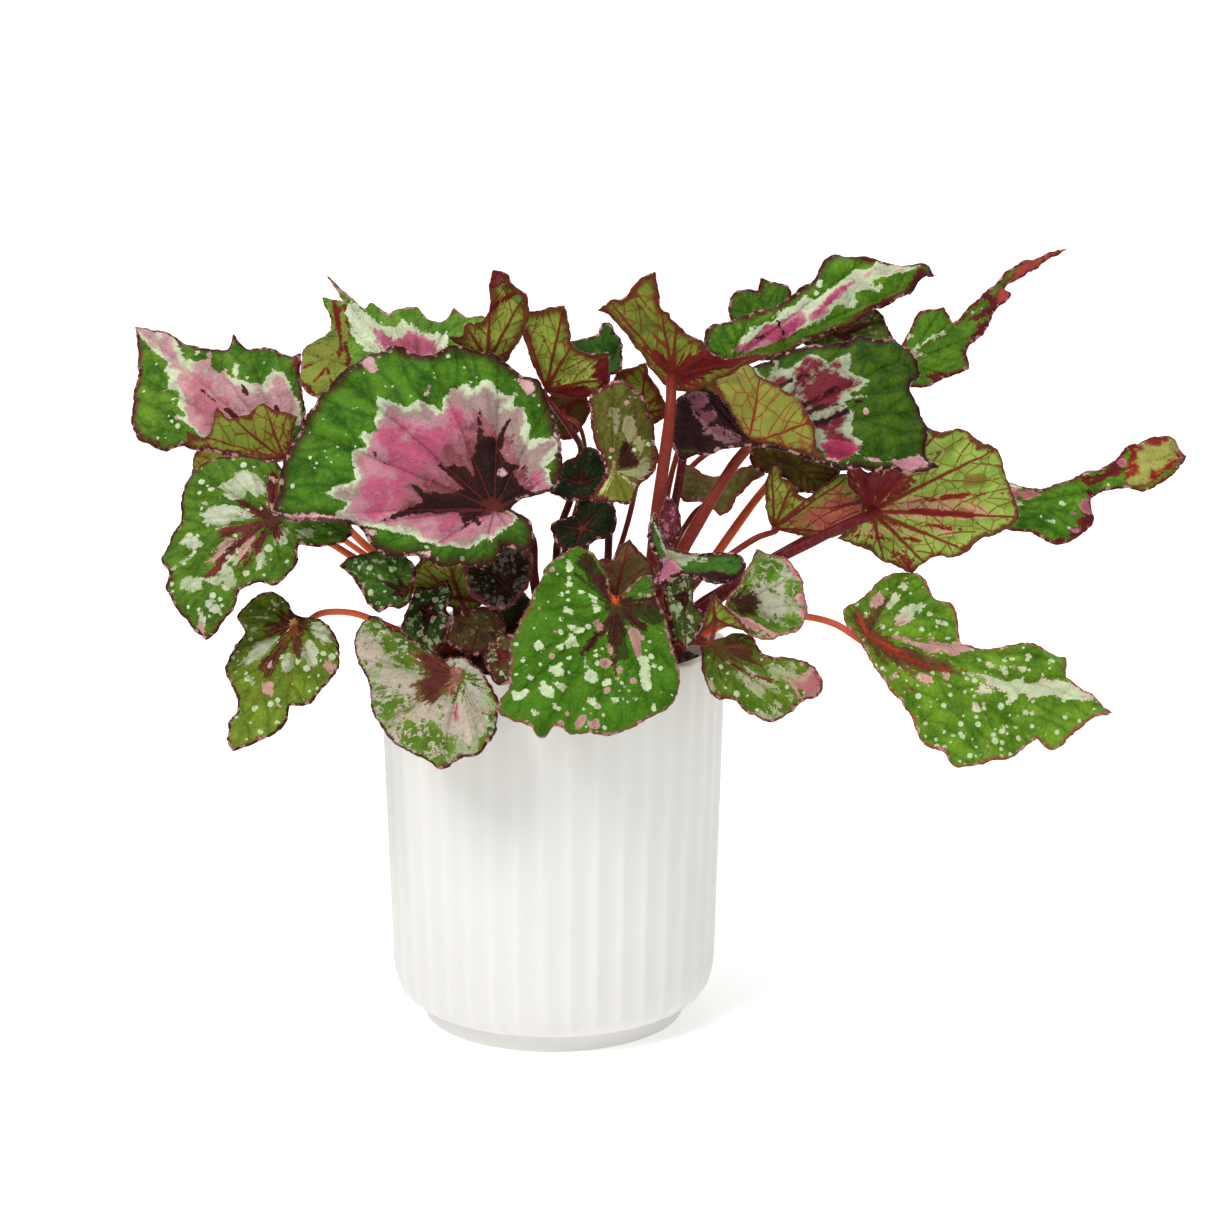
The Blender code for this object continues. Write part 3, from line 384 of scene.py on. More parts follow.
def strewn(name, count, sizes, flatness, look):
    spots, faces = [], []
    for k in range(count):
        away = soil["strewnTo"] * math.sqrt(draw.uniform(0.0, 1.0))
        turn = draw.uniform(0, 2 * math.pi)
        width = draw.uniform(*sizes)
        size = width * np.array([1, draw.uniform(0.5, 0.9), flatness * draw.uniform(0.6, 1)])
        spin = Matrix.Rotation(draw.uniform(0, 6.28), 3, "Z")
        spin = spin @ Matrix.Rotation(draw.normal(0, 0.35), 3, "X")
        shape = crumbPoints * size * draw.uniform(0.75, 1.25, (len(crumbPoints), 1)) @ np.array(spin).T
        faces.append(crumbFaces + len(crumbPoints) * k)
        above = soil["top"] + draw.uniform(0.1, 1.5)
        spots.append(shape + [away * math.cos(turn), away * math.sin(turn), above])
    return meshed(name, np.vstack(spots), np.vstack(faces).tolist(), [look])


looks = ground.data.materials
ground = joined("pottingSoil", [
    ground, strewn("crumbs", soil["crumbs"], soil["crumb"], 0.75, looks[0]),
    strewn("bark", soil["bark"], soil["barkSize"], 0.3, looks[1]),
    strewn("grains", soil["grains"], soil["grain"], 0.8, looks[2])])
smoothShade(ground, soil["cornerAngle"])
settle(ground, "soil")
print("soil has", len(ground.data.polygons), "faces")


# Blades: the junction's drawn place and depth, the depth gained along x and z, and the edge as drawn.
# face 1 shows the upper side, -1 the underside. The edge runs clockwise from the notch at the junction.
leaves = {
    "big_pink": dict(
        seat=(-25, 225, -63), tilt=(0.01, 0.62), face=1,
        first=[(-18, 225), (-13, 223), (-9, 218), (-8.5, 210), (-12, 207), (-21, 209), (-24, 203),
            (-30, 200), (-38, 200.5), (-48, 200), (-58, 204), (-70, 204.5), (-78, 209), (-83, 217.5),
            (-100, 219.3), (-112, 220.5)],
        tip=(-120, 222),
        second=[(-117.5, 233), (-114.5, 245), (-108, 259), (-104, 265), (-99, 274), (-90, 282),
            (-77, 292.5), (-65, 294), (-52, 291.7), (-43, 294.5), (-33, 294), (-22, 290), (-15, 284.5),
            (-6, 280), (-1, 270), (2.5, 259), (4.5, 248), (4, 241), (2, 235), (-6, 231), (-16, 227.6)],
    ),
    "far_left": dict(
        seat=(-114, 246.4, -10.8), tilt=(-0.14, 0.77), face=1,
        first=[(-122, 245.4), (-131, 247), (-140, 249), (-150, 250.5), (-157, 251.8), (-165, 251),
            (-173.5, 253), (-179.5, 262), (-178, 270), (-178, 276), (-175.5, 282), (-176, 290),
            (-175, 296)],
        tip=(-177, 305),
        second=[(-163, 300), (-155, 297.3), (-147.3, 293.6), (-137, 295.6), (-134.4, 299), (-129, 294.7),
            (-120, 294), (-110, 291.5), (-106.3, 291.5), (-107, 283), (-105, 268), (-106, 258),
            (-110, 249)],
    ),
    "left_scrap": dict(
        seat=(-124, 238, 6), tilt=(-0.02, -0.26), face=-1,
        first=[(-124, 233), (-134, 231), (-146, 234)],
        tip=(-154.2, 240),
        second=[(-153.3, 246), (-152, 250), (-146, 256), (-134, 258), (-124, 253), (-119, 243)],
    ),
    "left_middle": dict(
        seat=(-120, 220.5, -46.6), tilt=(-0.11, 0.88), face=1,
        first=[(-113, 225), (-100, 224), (-89, 221), (-85.5, 215.5), (-90, 210.3), (-100, 209), (-109, 209),
            (-111, 200), (-115.4, 194.7), (-120, 191.8), (-128, 192.3), (-135.5, 190), (-136, 185),
            (-141, 178)],
        tip=(-150, 166),
        second=[(-158.3, 176), (-165.6, 187), (-167, 191.5), (-165.5, 194.5), (-168.5, 204), (-162.5, 214),
            (-159.5, 221), (-158.5, 230), (-153.5, 242), (-142, 247), (-129, 248), (-117, 244), (-112, 236),
            (-113, 229)],
    ),
    "lower_left": dict(
        seat=(-111.5, 174.5, -50.7), tilt=(-0.11, 0.99), face=1,
        first=[(-108, 177.5), (-103, 177.2), (-98, 174.5), (-94, 169), (-92.3, 161), (-94.5, 152.5),
            (-100.5, 145), (-107, 139), (-115, 138), (-115.7, 132.5), (-119.5, 126.5), (-128, 122.5)],
        tip=(-140, 116.7),
        second=[(-142.5, 125), (-141.6, 129), (-138, 136), (-138, 143), (-142.4, 153), (-138, 164),
            (-133.7, 170), (-136, 177), (-130.5, 185.5), (-120.5, 188.2), (-114.4, 184), (-111, 178.5)],
    ),
    "small_left": dict(
        seat=(-63.4, 188.7, -58), tilt=(-0.05, 0.69), face=1,
        first=[(-61.5, 185), (-66, 181.5), (-71, 182), (-75, 179.5), (-80, 183.5), (-83, 190),
            (-88, 196.6)],
        tip=(-92, 200.6),
        second=[(-88, 203.3), (-80, 206), (-72, 207.5), (-64, 205), (-59, 199), (-60, 192)],
    ),
    "dark_spotted": dict(
        seat=(-54, 180, -47), tilt=(-0.06, 0.57), face=1,
        first=[(-44, 177), (-46, 169), (-51, 161.5)],
        tip=(-57, 159),
        second=[(-65, 166), (-65, 176), (-61.5, 184), (-59, 191), (-51, 190.5), (-45.5, 194.5), (-43, 186),
            (-46, 181.5)],
    ),
    "pot_left": dict(
        seat=(-40, 150.5, -84), tilt=(-0.1, 0.86), face=1,
        first=[(-45.5, 159.5), (-40.5, 160), (-35.5, 157), (-30.5, 154), (-29.5, 150.5), (-26, 146),
            (-23.8, 140), (-24.3, 131), (-27, 122), (-32.2, 117), (-40, 113.8)],
        tip=(-49.3, 109.7),
        second=[(-57, 114), (-69, 121), (-74.7, 128), (-79.5, 138), (-79.6, 146.6), (-84.8, 158.5),
            (-86, 165), (-84.5, 172), (-79, 177.5), (-75.5, 178.2), (-72, 174), (-66, 171.5), (-60, 167),
            (-53, 162.5), (-47.5, 158)],
    ),
    "top_left": dict(
        seat=(-56, 277, -10), tilt=(-0.06, 0.75), face=1,
        first=[(-60, 272), (-75, 270), (-90, 272), (-101, 274), (-107, 279), (-106.5, 284), (-105.5, 292),
            (-101, 297.5), (-93, 301), (-94, 308), (-96.7, 315.2), (-88, 315)],
        tip=(-94.2, 324),
        second=[(-86.2, 318), (-83, 314), (-79, 311.8), (-76, 313.2), (-72, 311.5), (-68.5, 308),
            (-65, 311), (-61, 311.4), (-57, 312.7), (-51.5, 306.2), (-45.4, 306.6), (-41, 311),
            (-36, 308.2), (-29, 307.5), (-24, 303), (-26, 292), (-36, 282), (-48, 276)],
    ),
    "v_left": dict(
        seat=(-27, 289, -15.2), tilt=(0, -0.51), face=-1,
        first=[(-31, 289), (-36, 293), (-43.5, 299), (-37.6, 300.5), (-36.5, 304.5), (-30.5, 305.5),
            (-26.6, 308.7), (-26.2, 314), (-25.9, 320), (-25.8, 324)],
        tip=(-25, 327.2),
        second=[(-19, 326.5), (-15, 320), (-10.7, 318), (-9.5, 311), (-12, 301), (-15.5, 294.5),
            (-19.5, 288.5), (-24, 286)],
    ),
    "v_right": dict(
        seat=(-2.5, 276.5, -13.8), tilt=(-0.04, -0.25), face=-1,
        first=[(-5, 281), (-8.2, 288), (-11, 296), (-13.5, 303), (-13, 309.5), (-6, 310.3), (-1, 311.7)],
        tip=(5.5, 312.7),
        second=[(6.8, 308), (8, 300.6), (8.5, 296), (12.6, 293), (24, 292.5), (24.3, 282), (24.5, 274),
            (12, 273.5), (2, 273)],
    ),
    "narrow_green": dict(
        seat=(24, 283, 22), tilt=(0.03, 0.62), face=1,
        first=[(16, 285), (9, 290), (8, 297), (14, 299), (19, 300)],
        tip=(21.5, 305.5),
        second=[(25, 305.2), (26.5, 301.3), (29.5, 298), (30, 291), (29, 284)],
    ),
    "dark_upper": dict(
        seat=(12, 236, -36), tilt=(0.07, 0.66), face=1,
        first=[(6, 229), (-1, 232), (0, 240), (3.5, 244.5), (8.8, 247)],
        tip=(14, 252),
        second=[(18.2, 251), (22.5, 245), (24, 240), (22, 234), (17, 230)],
    ),
    "dark_round": dict(
        seat=(12.8, 216.3, -45), tilt=(0.05, 0.71), face=1,
        first=[(9.8, 223), (10, 229), (16, 230), (24, 228.5), (27.5, 224), (27.5, 218), (24.5, 213.3),
            (18, 211), (15, 208.5)],
        tip=(9, 206.3),
        second=[(4, 208), (0, 213), (-0.5, 218), (5, 221)],
    ),
    "olive_silver": dict(
        seat=(26.5, 241.5, -46), tilt=(0, 0.66), face=1,
        first=[(22, 247.5), (19.5, 251.5), (17.2, 257), (16.5, 267), (15.5, 272), (20, 276.5), (26, 280),
            (31.5, 280), (38, 274), (42, 265), (43.5, 259.5), (44.5, 253), (45.5, 247), (44, 241.5),
            (38, 236), (33, 228), (28, 227.5), (22, 228.3)],
        tip=(16.5, 228.5),
        second=[(19, 234), (22, 238.5)],
    ),
    "olive_rim": dict(
        seat=(38, 266, 8), tilt=(0, -0.4), face=-1,
        first=[(33, 262), (27, 268), (25.5, 278), (29, 285), (34, 286.3)],
        tip=(40, 288),
        second=[(42, 282), (46, 276), (49, 269), (47.5, 264), (42, 261)],
    ),
    "olive_under": dict(
        seat=(6, 269, 3.2), tilt=(-0.18, -0.53), face=-1,
        first=[(7, 275), (14, 275), (17, 269), (13.5, 262)],
        tip=(9, 256),
        second=[(3, 256), (-3, 260), (-4, 268), (1, 275)],
    ),
    "star_fold": dict(
        seat=(51, 203.5, -74), tilt=(0.14, 0.68), face=1,
        first=[(54, 207), (59, 206), (66, 205.7), (71, 206.3), (76.4, 205.8), (81.5, 205.3), (83.2, 200),
            (79.5, 195), (69.5, 191.8), (62, 195.5), (55, 195.5), (48, 191.8)],
        tip=(41, 189.6),
        second=[(44.8, 195), (46, 200), (43.5, 207), (40.5, 214), (41.8, 219.5), (44, 223.5), (47, 216),
            (49.5, 209)],
    ),
    "young_upright": dict(
        seat=(51.5, 210, -68), tilt=(0.07, 0.88), face=1,
        first=[(49.5, 209), (46.5, 216), (46.5, 222)],
        tip=(49, 231),
        second=[(53.5, 226.5), (55.3, 219), (54.3, 213)],
    ),
    "silver_dark": dict(
        seat=(-20, 190, -51), tilt=(-0.07, 0.81), face=1,
        first=[(-16, 184), (-22, 181), (-31, 183.5), (-36.5, 190), (-38, 198)],
        tip=(-33, 204),
        second=[(-25, 210), (-14, 211), (-9, 206), (-9, 198), (-11, 190), (-15, 186)],
    ),
    "brown_small": dict(
        seat=(-31, 174, -60), tilt=(-0.02, 0.71), face=1,
        first=[(-20.5, 173.5), (-22, 167), (-28, 162)],
        tip=(-35, 161),
        second=[(-42, 163), (-46, 169), (-43.5, 175.5), (-37, 180), (-30, 182), (-23, 179.5)],
    ),
    # dark_back stands where there is only shade: a near-black blade whose colour is painted shade
    "dark_back": dict(
        seat=(-14, 174, -22), tilt=(0, 0.59), face=1,
        first=[(-9, 170), (-14, 164), (-20, 163)],
        tip=(-25, 167),
        second=[(-26, 176), (-25, 188), (-16, 190), (-11, 187), (-7, 176)],
    ),
    "olive_small": dict(
        seat=(-40, 186, -36.2), tilt=(0.11, -0.01), face=-1,
        first=[(-30, 184), (-36, 180), (-45, 182)],
        tip=(-56, 186),
        second=[(-62, 193), (-58, 202), (-46, 206), (-36, 203), (-30, 194)],
    ),
    "marbled_small": dict(
        seat=(-22, 161, -79), tilt=(-0.08, 0.69), face=1,
        first=[(-13, 160), (-14, 153), (-18, 148)],
        tip=(-24.5, 147.5),
        second=[(-28, 153.5), (-29.5, 159), (-27, 165), (-21.5, 169.5), (-16.7, 169)],
    ),
    "pot_front": dict(
        seat=(27.6, 182.5, -74), tilt=(0.03, 0.8), face=1,
        first=[(29, 187), (34, 192), (41, 196), (44, 196.5), (43.8, 189.5), (48, 179.5), (50.5, 170),
            (53, 160), (55.2, 152), (54.5, 145.5), (51.3, 137.5), (43, 133.5), (36, 128.5), (28, 125.8),
            (18, 124.8), (8, 126.2), (1, 127.8)],
        tip=(-4.9, 124.3),
        second=[(-11.5, 128.7), (-18, 132), (-23.7, 134.2), (-24, 139), (-20, 144), (-18.7, 152),
            (-18.2, 162), (-16.5, 171), (-11.4, 180), (-9, 187), (-5.3, 193), (-3.5, 199), (3, 204),
            (11, 209.5), (17.5, 205), (23.6, 196), (25.8, 187.5)],
    ),
    "front_under": dict(
        seat=(27, 187, -46), tilt=(0.09, -0.55), face=-1,
        first=[(20, 190), (17, 200), (20.5, 203), (25.5, 203.5), (29.5, 209)],
        tip=(33, 212),
        second=[(37, 207), (44, 199), (45, 190), (36, 185)],
    ),
    "right_marbled": dict(
        seat=(57, 186, -62), tilt=(0.14, 0.6), face=1,
        first=[(61, 184), (66, 178), (64, 172), (60.4, 166.5)],
        tip=(57.5, 162.5),
        second=[(52.5, 168), (50.5, 177), (48, 187), (51, 195.5), (56, 197.5), (61.5, 195), (61, 189)],
    ),
    "right_front": dict(
        seat=(70.4, 163.7, -61.3), tilt=(0.01, 0.69), face=1,
        first=[(73.5, 168.3), (81, 170.5), (86, 169), (89.4, 163.5), (92.3, 160.8), (101, 159.5),
            (108, 158.4), (113.5, 155)],
        tip=(117.6, 148.5),
        second=[(115, 142.5), (108, 139), (103.5, 135.5), (98.6, 131.2), (92.9, 131.3), (86.5, 133.3),
            (79.1, 140.5), (72.5, 140.7), (68, 145), (65.5, 151), (64.5, 160), (64.5, 165.5), (68, 167)],
    ),
    "pink_edge": dict(
        seat=(76, 181.5, -55), tilt=(0.12, 0.89), face=1,
        first=[(75.5, 186), (79.3, 190.5), (83.6, 198.6)],
        tip=(88, 207.6),
        second=[(93, 205.4), (100.3, 204), (106.5, 195.5), (109.8, 184), (109.8, 177), (108, 173.5),
            (105, 170.8), (98, 168.6), (90, 167.3), (85.5, 169), (80, 175), (75, 178)],
    ),
    "inverted_v": dict(
        seat=(70, 176.5, -66), tilt=(-0.02, -0.25), face=-1,
        first=[(68, 173.5), (61.5, 166.3), (65, 174), (66.8, 181)],
        tip=(69.3, 188),
        second=[(73, 184), (79, 178), (86, 171), (76, 173.5)],
    ),
    "lower_right": dict(
        seat=(136.5, 169, -48), tilt=(0.16, 0.88), face=1,
        first=[(131, 170), (127.4, 173.8), (125.3, 179), (133.9, 186.3), (144.2, 195.6), (152, 197.5),
            (159, 195.5), (166, 186), (173, 182), (176, 171), (176.8, 164.6), (190, 164), (205.3, 165.3),
            (219, 161), (222.5, 158), (223.8, 152), (231, 144)],
        tip=(244.7, 136.3),
        second=[(233.4, 130.3), (216, 119.5), (210.5, 123), (202.8, 116.3), (190, 112), (176, 111.3),
            (170.5, 116.3), (161.5, 121.8), (154.8, 134.7), (144, 149.5), (135, 163)],
    ),
    "left_under": dict(
        seat=(95, 216.6, -24), tilt=(0.08, -0.03), face=-1,
        first=[(91.8, 225), (91, 232), (93.8, 244.6), (97.2, 244.6), (98.5, 239), (103, 237),
            (104.3, 232.5), (109, 230), (115, 234.5), (119, 237.5), (124, 240)],
        tip=(128, 240),
        second=[(134, 231), (133, 221), (127, 215), (118, 212), (109, 213), (101, 214.8)],
    ),
    "right_under": dict(
        seat=(137, 224.2, -24), tilt=(0.06, 0.02), face=-1,
        first=[(133, 227.5), (127, 236), (126, 241.5), (129.5, 245), (134, 241.5), (142, 244), (147, 247),
            (151, 255), (156, 262.5), (164.6, 259), (176.7, 259.2), (182, 254.7), (190, 251.3), (193, 243),
            (196, 235)],
        tip=(199.8, 221.5),
        second=[(190.7, 213.6), (184.8, 212.5), (178.7, 206.3), (171, 203.7), (166, 204.5), (160, 201.5),
            (155, 196.5), (149, 199.5), (142.5, 202.2), (136, 206.8), (128, 210), (122, 212), (129, 217)],
    ),
    "far_right": dict(
        seat=(189, 226, 14), tilt=(0.23, 0.85), face=1,
        first=[(190, 235), (196, 237), (205, 233.5), (217, 236.5), (228, 240.5), (237.6, 244.5),
            (246, 251.5), (252, 255), (261.2, 255.9)],
        tip=(272.4, 249.7),
        second=[(265.3, 239.3), (254.5, 233.8), (244, 233.6), (234, 232), (230.6, 228.5), (233, 222),
            (228, 214), (216.8, 210), (205, 215), (194, 217)],
    ),
    "red_tip": dict(
        seat=(150, 287, 20.4), tilt=(0.26, 0.73), face=1,
        first=[(148, 293), (149.5, 298.5), (152.7, 304), (154.5, 309.3), (165.5, 311.2), (170, 305.2),
            (178.8, 313.8), (186.2, 321), (195, 328.8), (203.4, 333)],
        tip=(216.8, 335.7),
        second=[(204.5, 328.8), (199.5, 324.5), (192.2, 320.5), (193.3, 316.3), (187.5, 310), (183.5, 301),
            (176.5, 294), (176.6, 285), (169, 282.5), (158, 277.5), (151, 278.5), (146, 283)],
    ),
    "right_star": dict(
        seat=(84, 254, -38), tilt=(0.12, 0.72), face=1,
        first=[(78, 251.8), (69, 249.6), (62, 248.2), (56.5, 247), (50.5, 253), (50, 264), (54, 273),
            (62, 278.5), (72, 282.5), (84, 286), (98, 291.5), (113.5, 296.5), (122, 295.5), (129.4, 300),
            (139, 297), (146, 299), (153, 291.5), (156.8, 284), (152, 278), (157.4, 267.5), (160, 257),
            (160, 249)],
        tip=(165, 242.3),
        second=[(152, 241.3), (144, 242.2), (138, 241.6), (130, 243), (124, 242.3), (118, 243.7),
            (111, 246.4), (103, 249.2), (95, 251.3), (88, 252.4)],
    ),
    "top_right": dict(
        seat=(77, 288.3, -6.2), tilt=(0.34, 0.75), face=1,
        first=[(71, 289.5), (64, 294.5), (66, 302.8), (75, 306), (84, 309), (98, 314), (105.5, 320),
            (110, 323), (117, 333), (125, 334), (133, 331.5), (147, 330.7), (157, 328.5)],
        tip=(163.8, 326),
        second=[(157, 324), (153.5, 319.5), (149, 316), (141, 312.8), (134, 309), (127, 304), (118, 300.8),
            (112, 298.6), (106, 296), (98, 291.6), (88, 288.5)],
    ),
    "behind_top": dict(
        seat=(91, 302, 32), tilt=(0.07, 0.55), face=1,
        first=[(84, 300), (77, 305), (75, 314.5), (77, 317.7), (83.5, 319.3), (87.3, 319)],
        tip=(88.3, 323.6),
        second=[(94, 323), (100.5, 319.5), (101, 312), (97, 304)],
    ),
    "centre_under": dict(
        seat=(51.3, 282.5, -34.5), tilt=(-0.11, -0.43), face=-1,
        first=[(47.5, 279.5), (42.5, 285), (36.5, 294), (31.5, 301), (24.3, 308), (19.8, 311.5), (25, 314),
            (31, 316.5), (37, 323)],
        tip=(43.8, 327.6),
        second=[(45, 320.5), (45.8, 315), (46.6, 310.5), (49.7, 309.5), (50.5, 306.8), (53, 305.5),
            (57, 300.2), (63.5, 298), (66.5, 293), (73, 290.4), (84, 291), (93.4, 292.3), (80, 285.5),
            (68, 279.7), (58, 275.5)],
    ),
    "behind_star": dict(
        seat=(122, 300, 30), tilt=(0.19, 0.71), face=1,
        first=[(112, 293), (104, 299), (108, 308), (122, 313), (134, 312)],
        tip=(141, 307),
        second=[(142.3, 303), (144.5, 298), (138, 292), (128, 291)],
    ),
    "behind_under": dict(
        seat=(104, 244, -14), tilt=(0.22, 0.67), face=1,
        first=[(95, 240), (86, 243), (85, 251), (96, 256), (108, 255)],
        tip=(119, 249),
        second=[(123, 242), (120, 236), (116, 233), (105, 231.8), (103, 236)],
    ),
    "pale_behind": dict(
        seat=(70, 232, -13.6), tilt=(-0.06, 0.66), face=1,
        first=[(64, 228), (57, 228), (53, 236), (56, 244.5), (61, 243.3), (66, 239.7), (76, 240.5),
            (82, 243.5), (87, 244.3)],
        tip=(91, 240.5),
        second=[(85, 236), (80, 231), (77, 225.5), (72, 222)],
    ),
}

# The folded-over halves, each hinged on its blade along a line
flaps = {
    "far_left": dict(
        hinge=((-115, 246.5), (-157, 252)), lift=8,
        edge=[(-122, 246.6), (-131, 248.2), (-140, 250.2), (-149, 251.8), (-156, 253), (-155, 257.5),
            (-149.6, 254.8), (-144, 258), (-140, 264.5), (-135, 260), (-128, 261.6), (-120.5, 265.4),
            (-115.5, 263.4), (-107, 261.5), (-109.5, 256), (-111.5, 251), (-114, 248)],
    ),
    "right_star": dict(
        hinge=((84, 254), (118, 244)), lift=9,
        edge=[(85, 255.2), (76, 264.5), (65, 274.5), (69, 280), (81, 284), (87, 277.5), (93, 273.5),
            (103.3, 266.5), (109.5, 259), (113, 250.7), (116, 246.6), (110, 248.4), (102, 251), (94, 253)],
    ),
}

# Crown, thickness and the points between the crown and the blade's junction, with their depths
stalks = {
    "big_pink": ("middle", 2.6, [(-8, 195, -22), (-9, 212, -28), (-17, 221, -42)]),
    "far_left": ("left", 2.2, [(-60, 192, -21.4), (-78, 207, -20.6), (-88, 217, -15.1),
        (-104, 236, -6.1)]),
    "left_scrap": ("left", 1.6, [(-55, 185, -13.8), (-78, 203, -11.5), (-104, 222, -6.7),
        (-118, 233, -13.5)]),
    "left_middle": ("left", 2.2, [(-60, 190, -34.6), (-85, 203.5, -36.4), (-95, 209.7, -36.4),
        (-110, 216.5, -39.4)]),
    "lower_left": ("left", 2, [(-66, 171, -36.7), (-77, 176, -42.7), (-88, 179.5, -43.9),
        (-101, 178.8, -42.8)]),
    "small_left": ("left", 1.6, [(-58, 182, -28), (-68, 189, -44)]),
    "dark_spotted": ("left", 1.5, [(-46, 175, -32)]),
    "pot_left": ("left", 2.2, [(-40, 156.5, -40), (-42, 157, -68)]),
    "top_left": ("left", 2.2, [(-50, 185, -12), (-58, 215, -18), (-60, 245, -14)]),
    "silver_dark": ("left", 1.5, [(-25, 182, -30)]),
    "brown_small": ("left", 1.5, [(-32, 171, -44)]),
    "olive_small": ("left", 1.5, [(-38, 180, -47.3)]),
    "dark_back": ("middle", 1.5, [(-10, 168, -12)]),
    "marbled_small": ("middle", 1.4, [(-12, 164, -45), (-19, 162.5, -68)]),
    "v_left": ("left", 2, [(-42, 200, -7.4), (-38, 245, -12.5), (-33, 272, -23.4)]),
    "v_right": ("middle", 2, [(2, 208, -17.8), (8, 230, -19.5), (12.5, 249, -19.1), (9, 258, -29.7),
        (2, 268, -28.3)]),
    "olive_under": ("middle", 1.4, [(4, 200, -10.6), (13, 235, -12.6), (14, 252, -8.2),
        (11, 262, -11.6)]),
    "narrow_green": ("middle", 1.6, [(14, 205, -1.9), (22, 250, 8)]),
    "dark_upper": ("middle", 1.5, [(8, 200, -20), (11, 222, -26)]),
    "dark_round": ("middle", 1.5, [(10, 200, -28)]),
    "olive_silver": ("middle", 2.2, [(22, 195, -26), (24.3, 213, -30), (25, 230, -34)]),
    "olive_rim": ("middle", 1.5, [(28, 205, -12.7), (36, 235, -9.9), (38, 253, -12.2)]),
    "pot_front": ("middle", 2.4, [(20, 176, -42), (25, 178.5, -64)]),
    "front_under": ("middle", 1.6, [(14, 178, -34), (29, 180, -66)]),
    "star_fold": ("right", 1.8, [(44, 182, -40), (48, 194, -62)]),
    "young_upright": ("right", 1.4, [(47, 188, -40), (50, 201, -53)]),
    "right_marbled": ("right", 1.5, [(50, 178, -46)]),
    "right_front": ("right", 2.2, [(54, 168, -32.3), (64, 168, -50.8)]),
    "inverted_v": ("right", 1.4, [(58, 166, -50), (67.5, 165.5, -70)]),
    "pink_edge": ("right", 2, [(54, 174, -22), (67, 178, -36)]),
    "lower_right": ("right", 2.2, [(64, 169.5, -31.8), (74, 174.5, -38.3), (84, 177.5, -41.3),
        (106, 178, -34.6), (122, 174.5, -35.2)]),
    "left_under": ("right", 2, [(58, 188, -30), (70, 200, -36), (78, 206, -38), (88, 212.5, -40)]),
    "right_under": ("right", 3.3, [(60, 176, -26), (72, 186.5, -30), (84, 195, -31), (98, 204, -31),
        (112, 211, -34), (125, 217.5, -37)]),
    "centre_under": ("right", 3.5, [(42, 190, -33.7), (44, 212, -41.2), (46, 232, -46.6),
        (48.5, 250, -49.9), (50.5, 268, -49.2)]),
    "top_right": ("right", 2.4, [(46, 190, -18.5), (54, 235, -22.2), (57, 252, -17.6), (62, 264, -7.7),
        (67, 277, 0.5)]),
    "right_star": ("right", 3.5, [(46, 186, -30), (55, 205, -36), (62, 218, -37), (70, 232, -35),
        (77.5, 244, -30)]),
    "red_tip": ("right", 2.3, [(54, 182, -12.2), (67, 200, -9.6), (78, 216, -6.6), (88, 230, -1.3),
        (100, 244, 9.3), (122, 268, 22.2), (138, 279, 29.2)]),
    "far_right": ("right", 2.2, [(60, 180, -9.8), (74, 190, -10.5), (98, 205.5, -10.7),
        (124, 219, -2.5), (150, 224, 6.1), (172, 226, 13.9)]),
    "behind_top": ("right", 1.6, [(47, 200, -5.4), (50, 235, 5.2), (60, 265, 18), (78, 290, 30.7)]),
    "behind_star": ("right", 1.6, [(48, 205, 1.5), (57, 240, 10.5), (84, 262, 22.4), (108, 290, 30.9)]),
    "behind_under": ("right", 1.6, [(56, 205, -20), (67, 228, -7), (84, 240, -6), (96, 245, -6)]),
    "pale_behind": ("right", 1.6, [(50, 200, -10.5), (60, 222, -2.2)]),
}


# Painted markings in drawn places. A shape is a spot (x, z, radius), a stroke (x, z, x, z, half width)
# or the corners of a patch, in mm. Each layer has its edge's and inner tones, how many mm deep the
# edge's tone goes, how ragged it is, and the share left bare. Later layers lie over earlier ones.
def layer(edge, inner, depth, ragged, *shapes, holes=0):
    return dict(edge=edge, inner=inner, depth=depth, ragged=ragged, holes=holes, shapes=shapes)


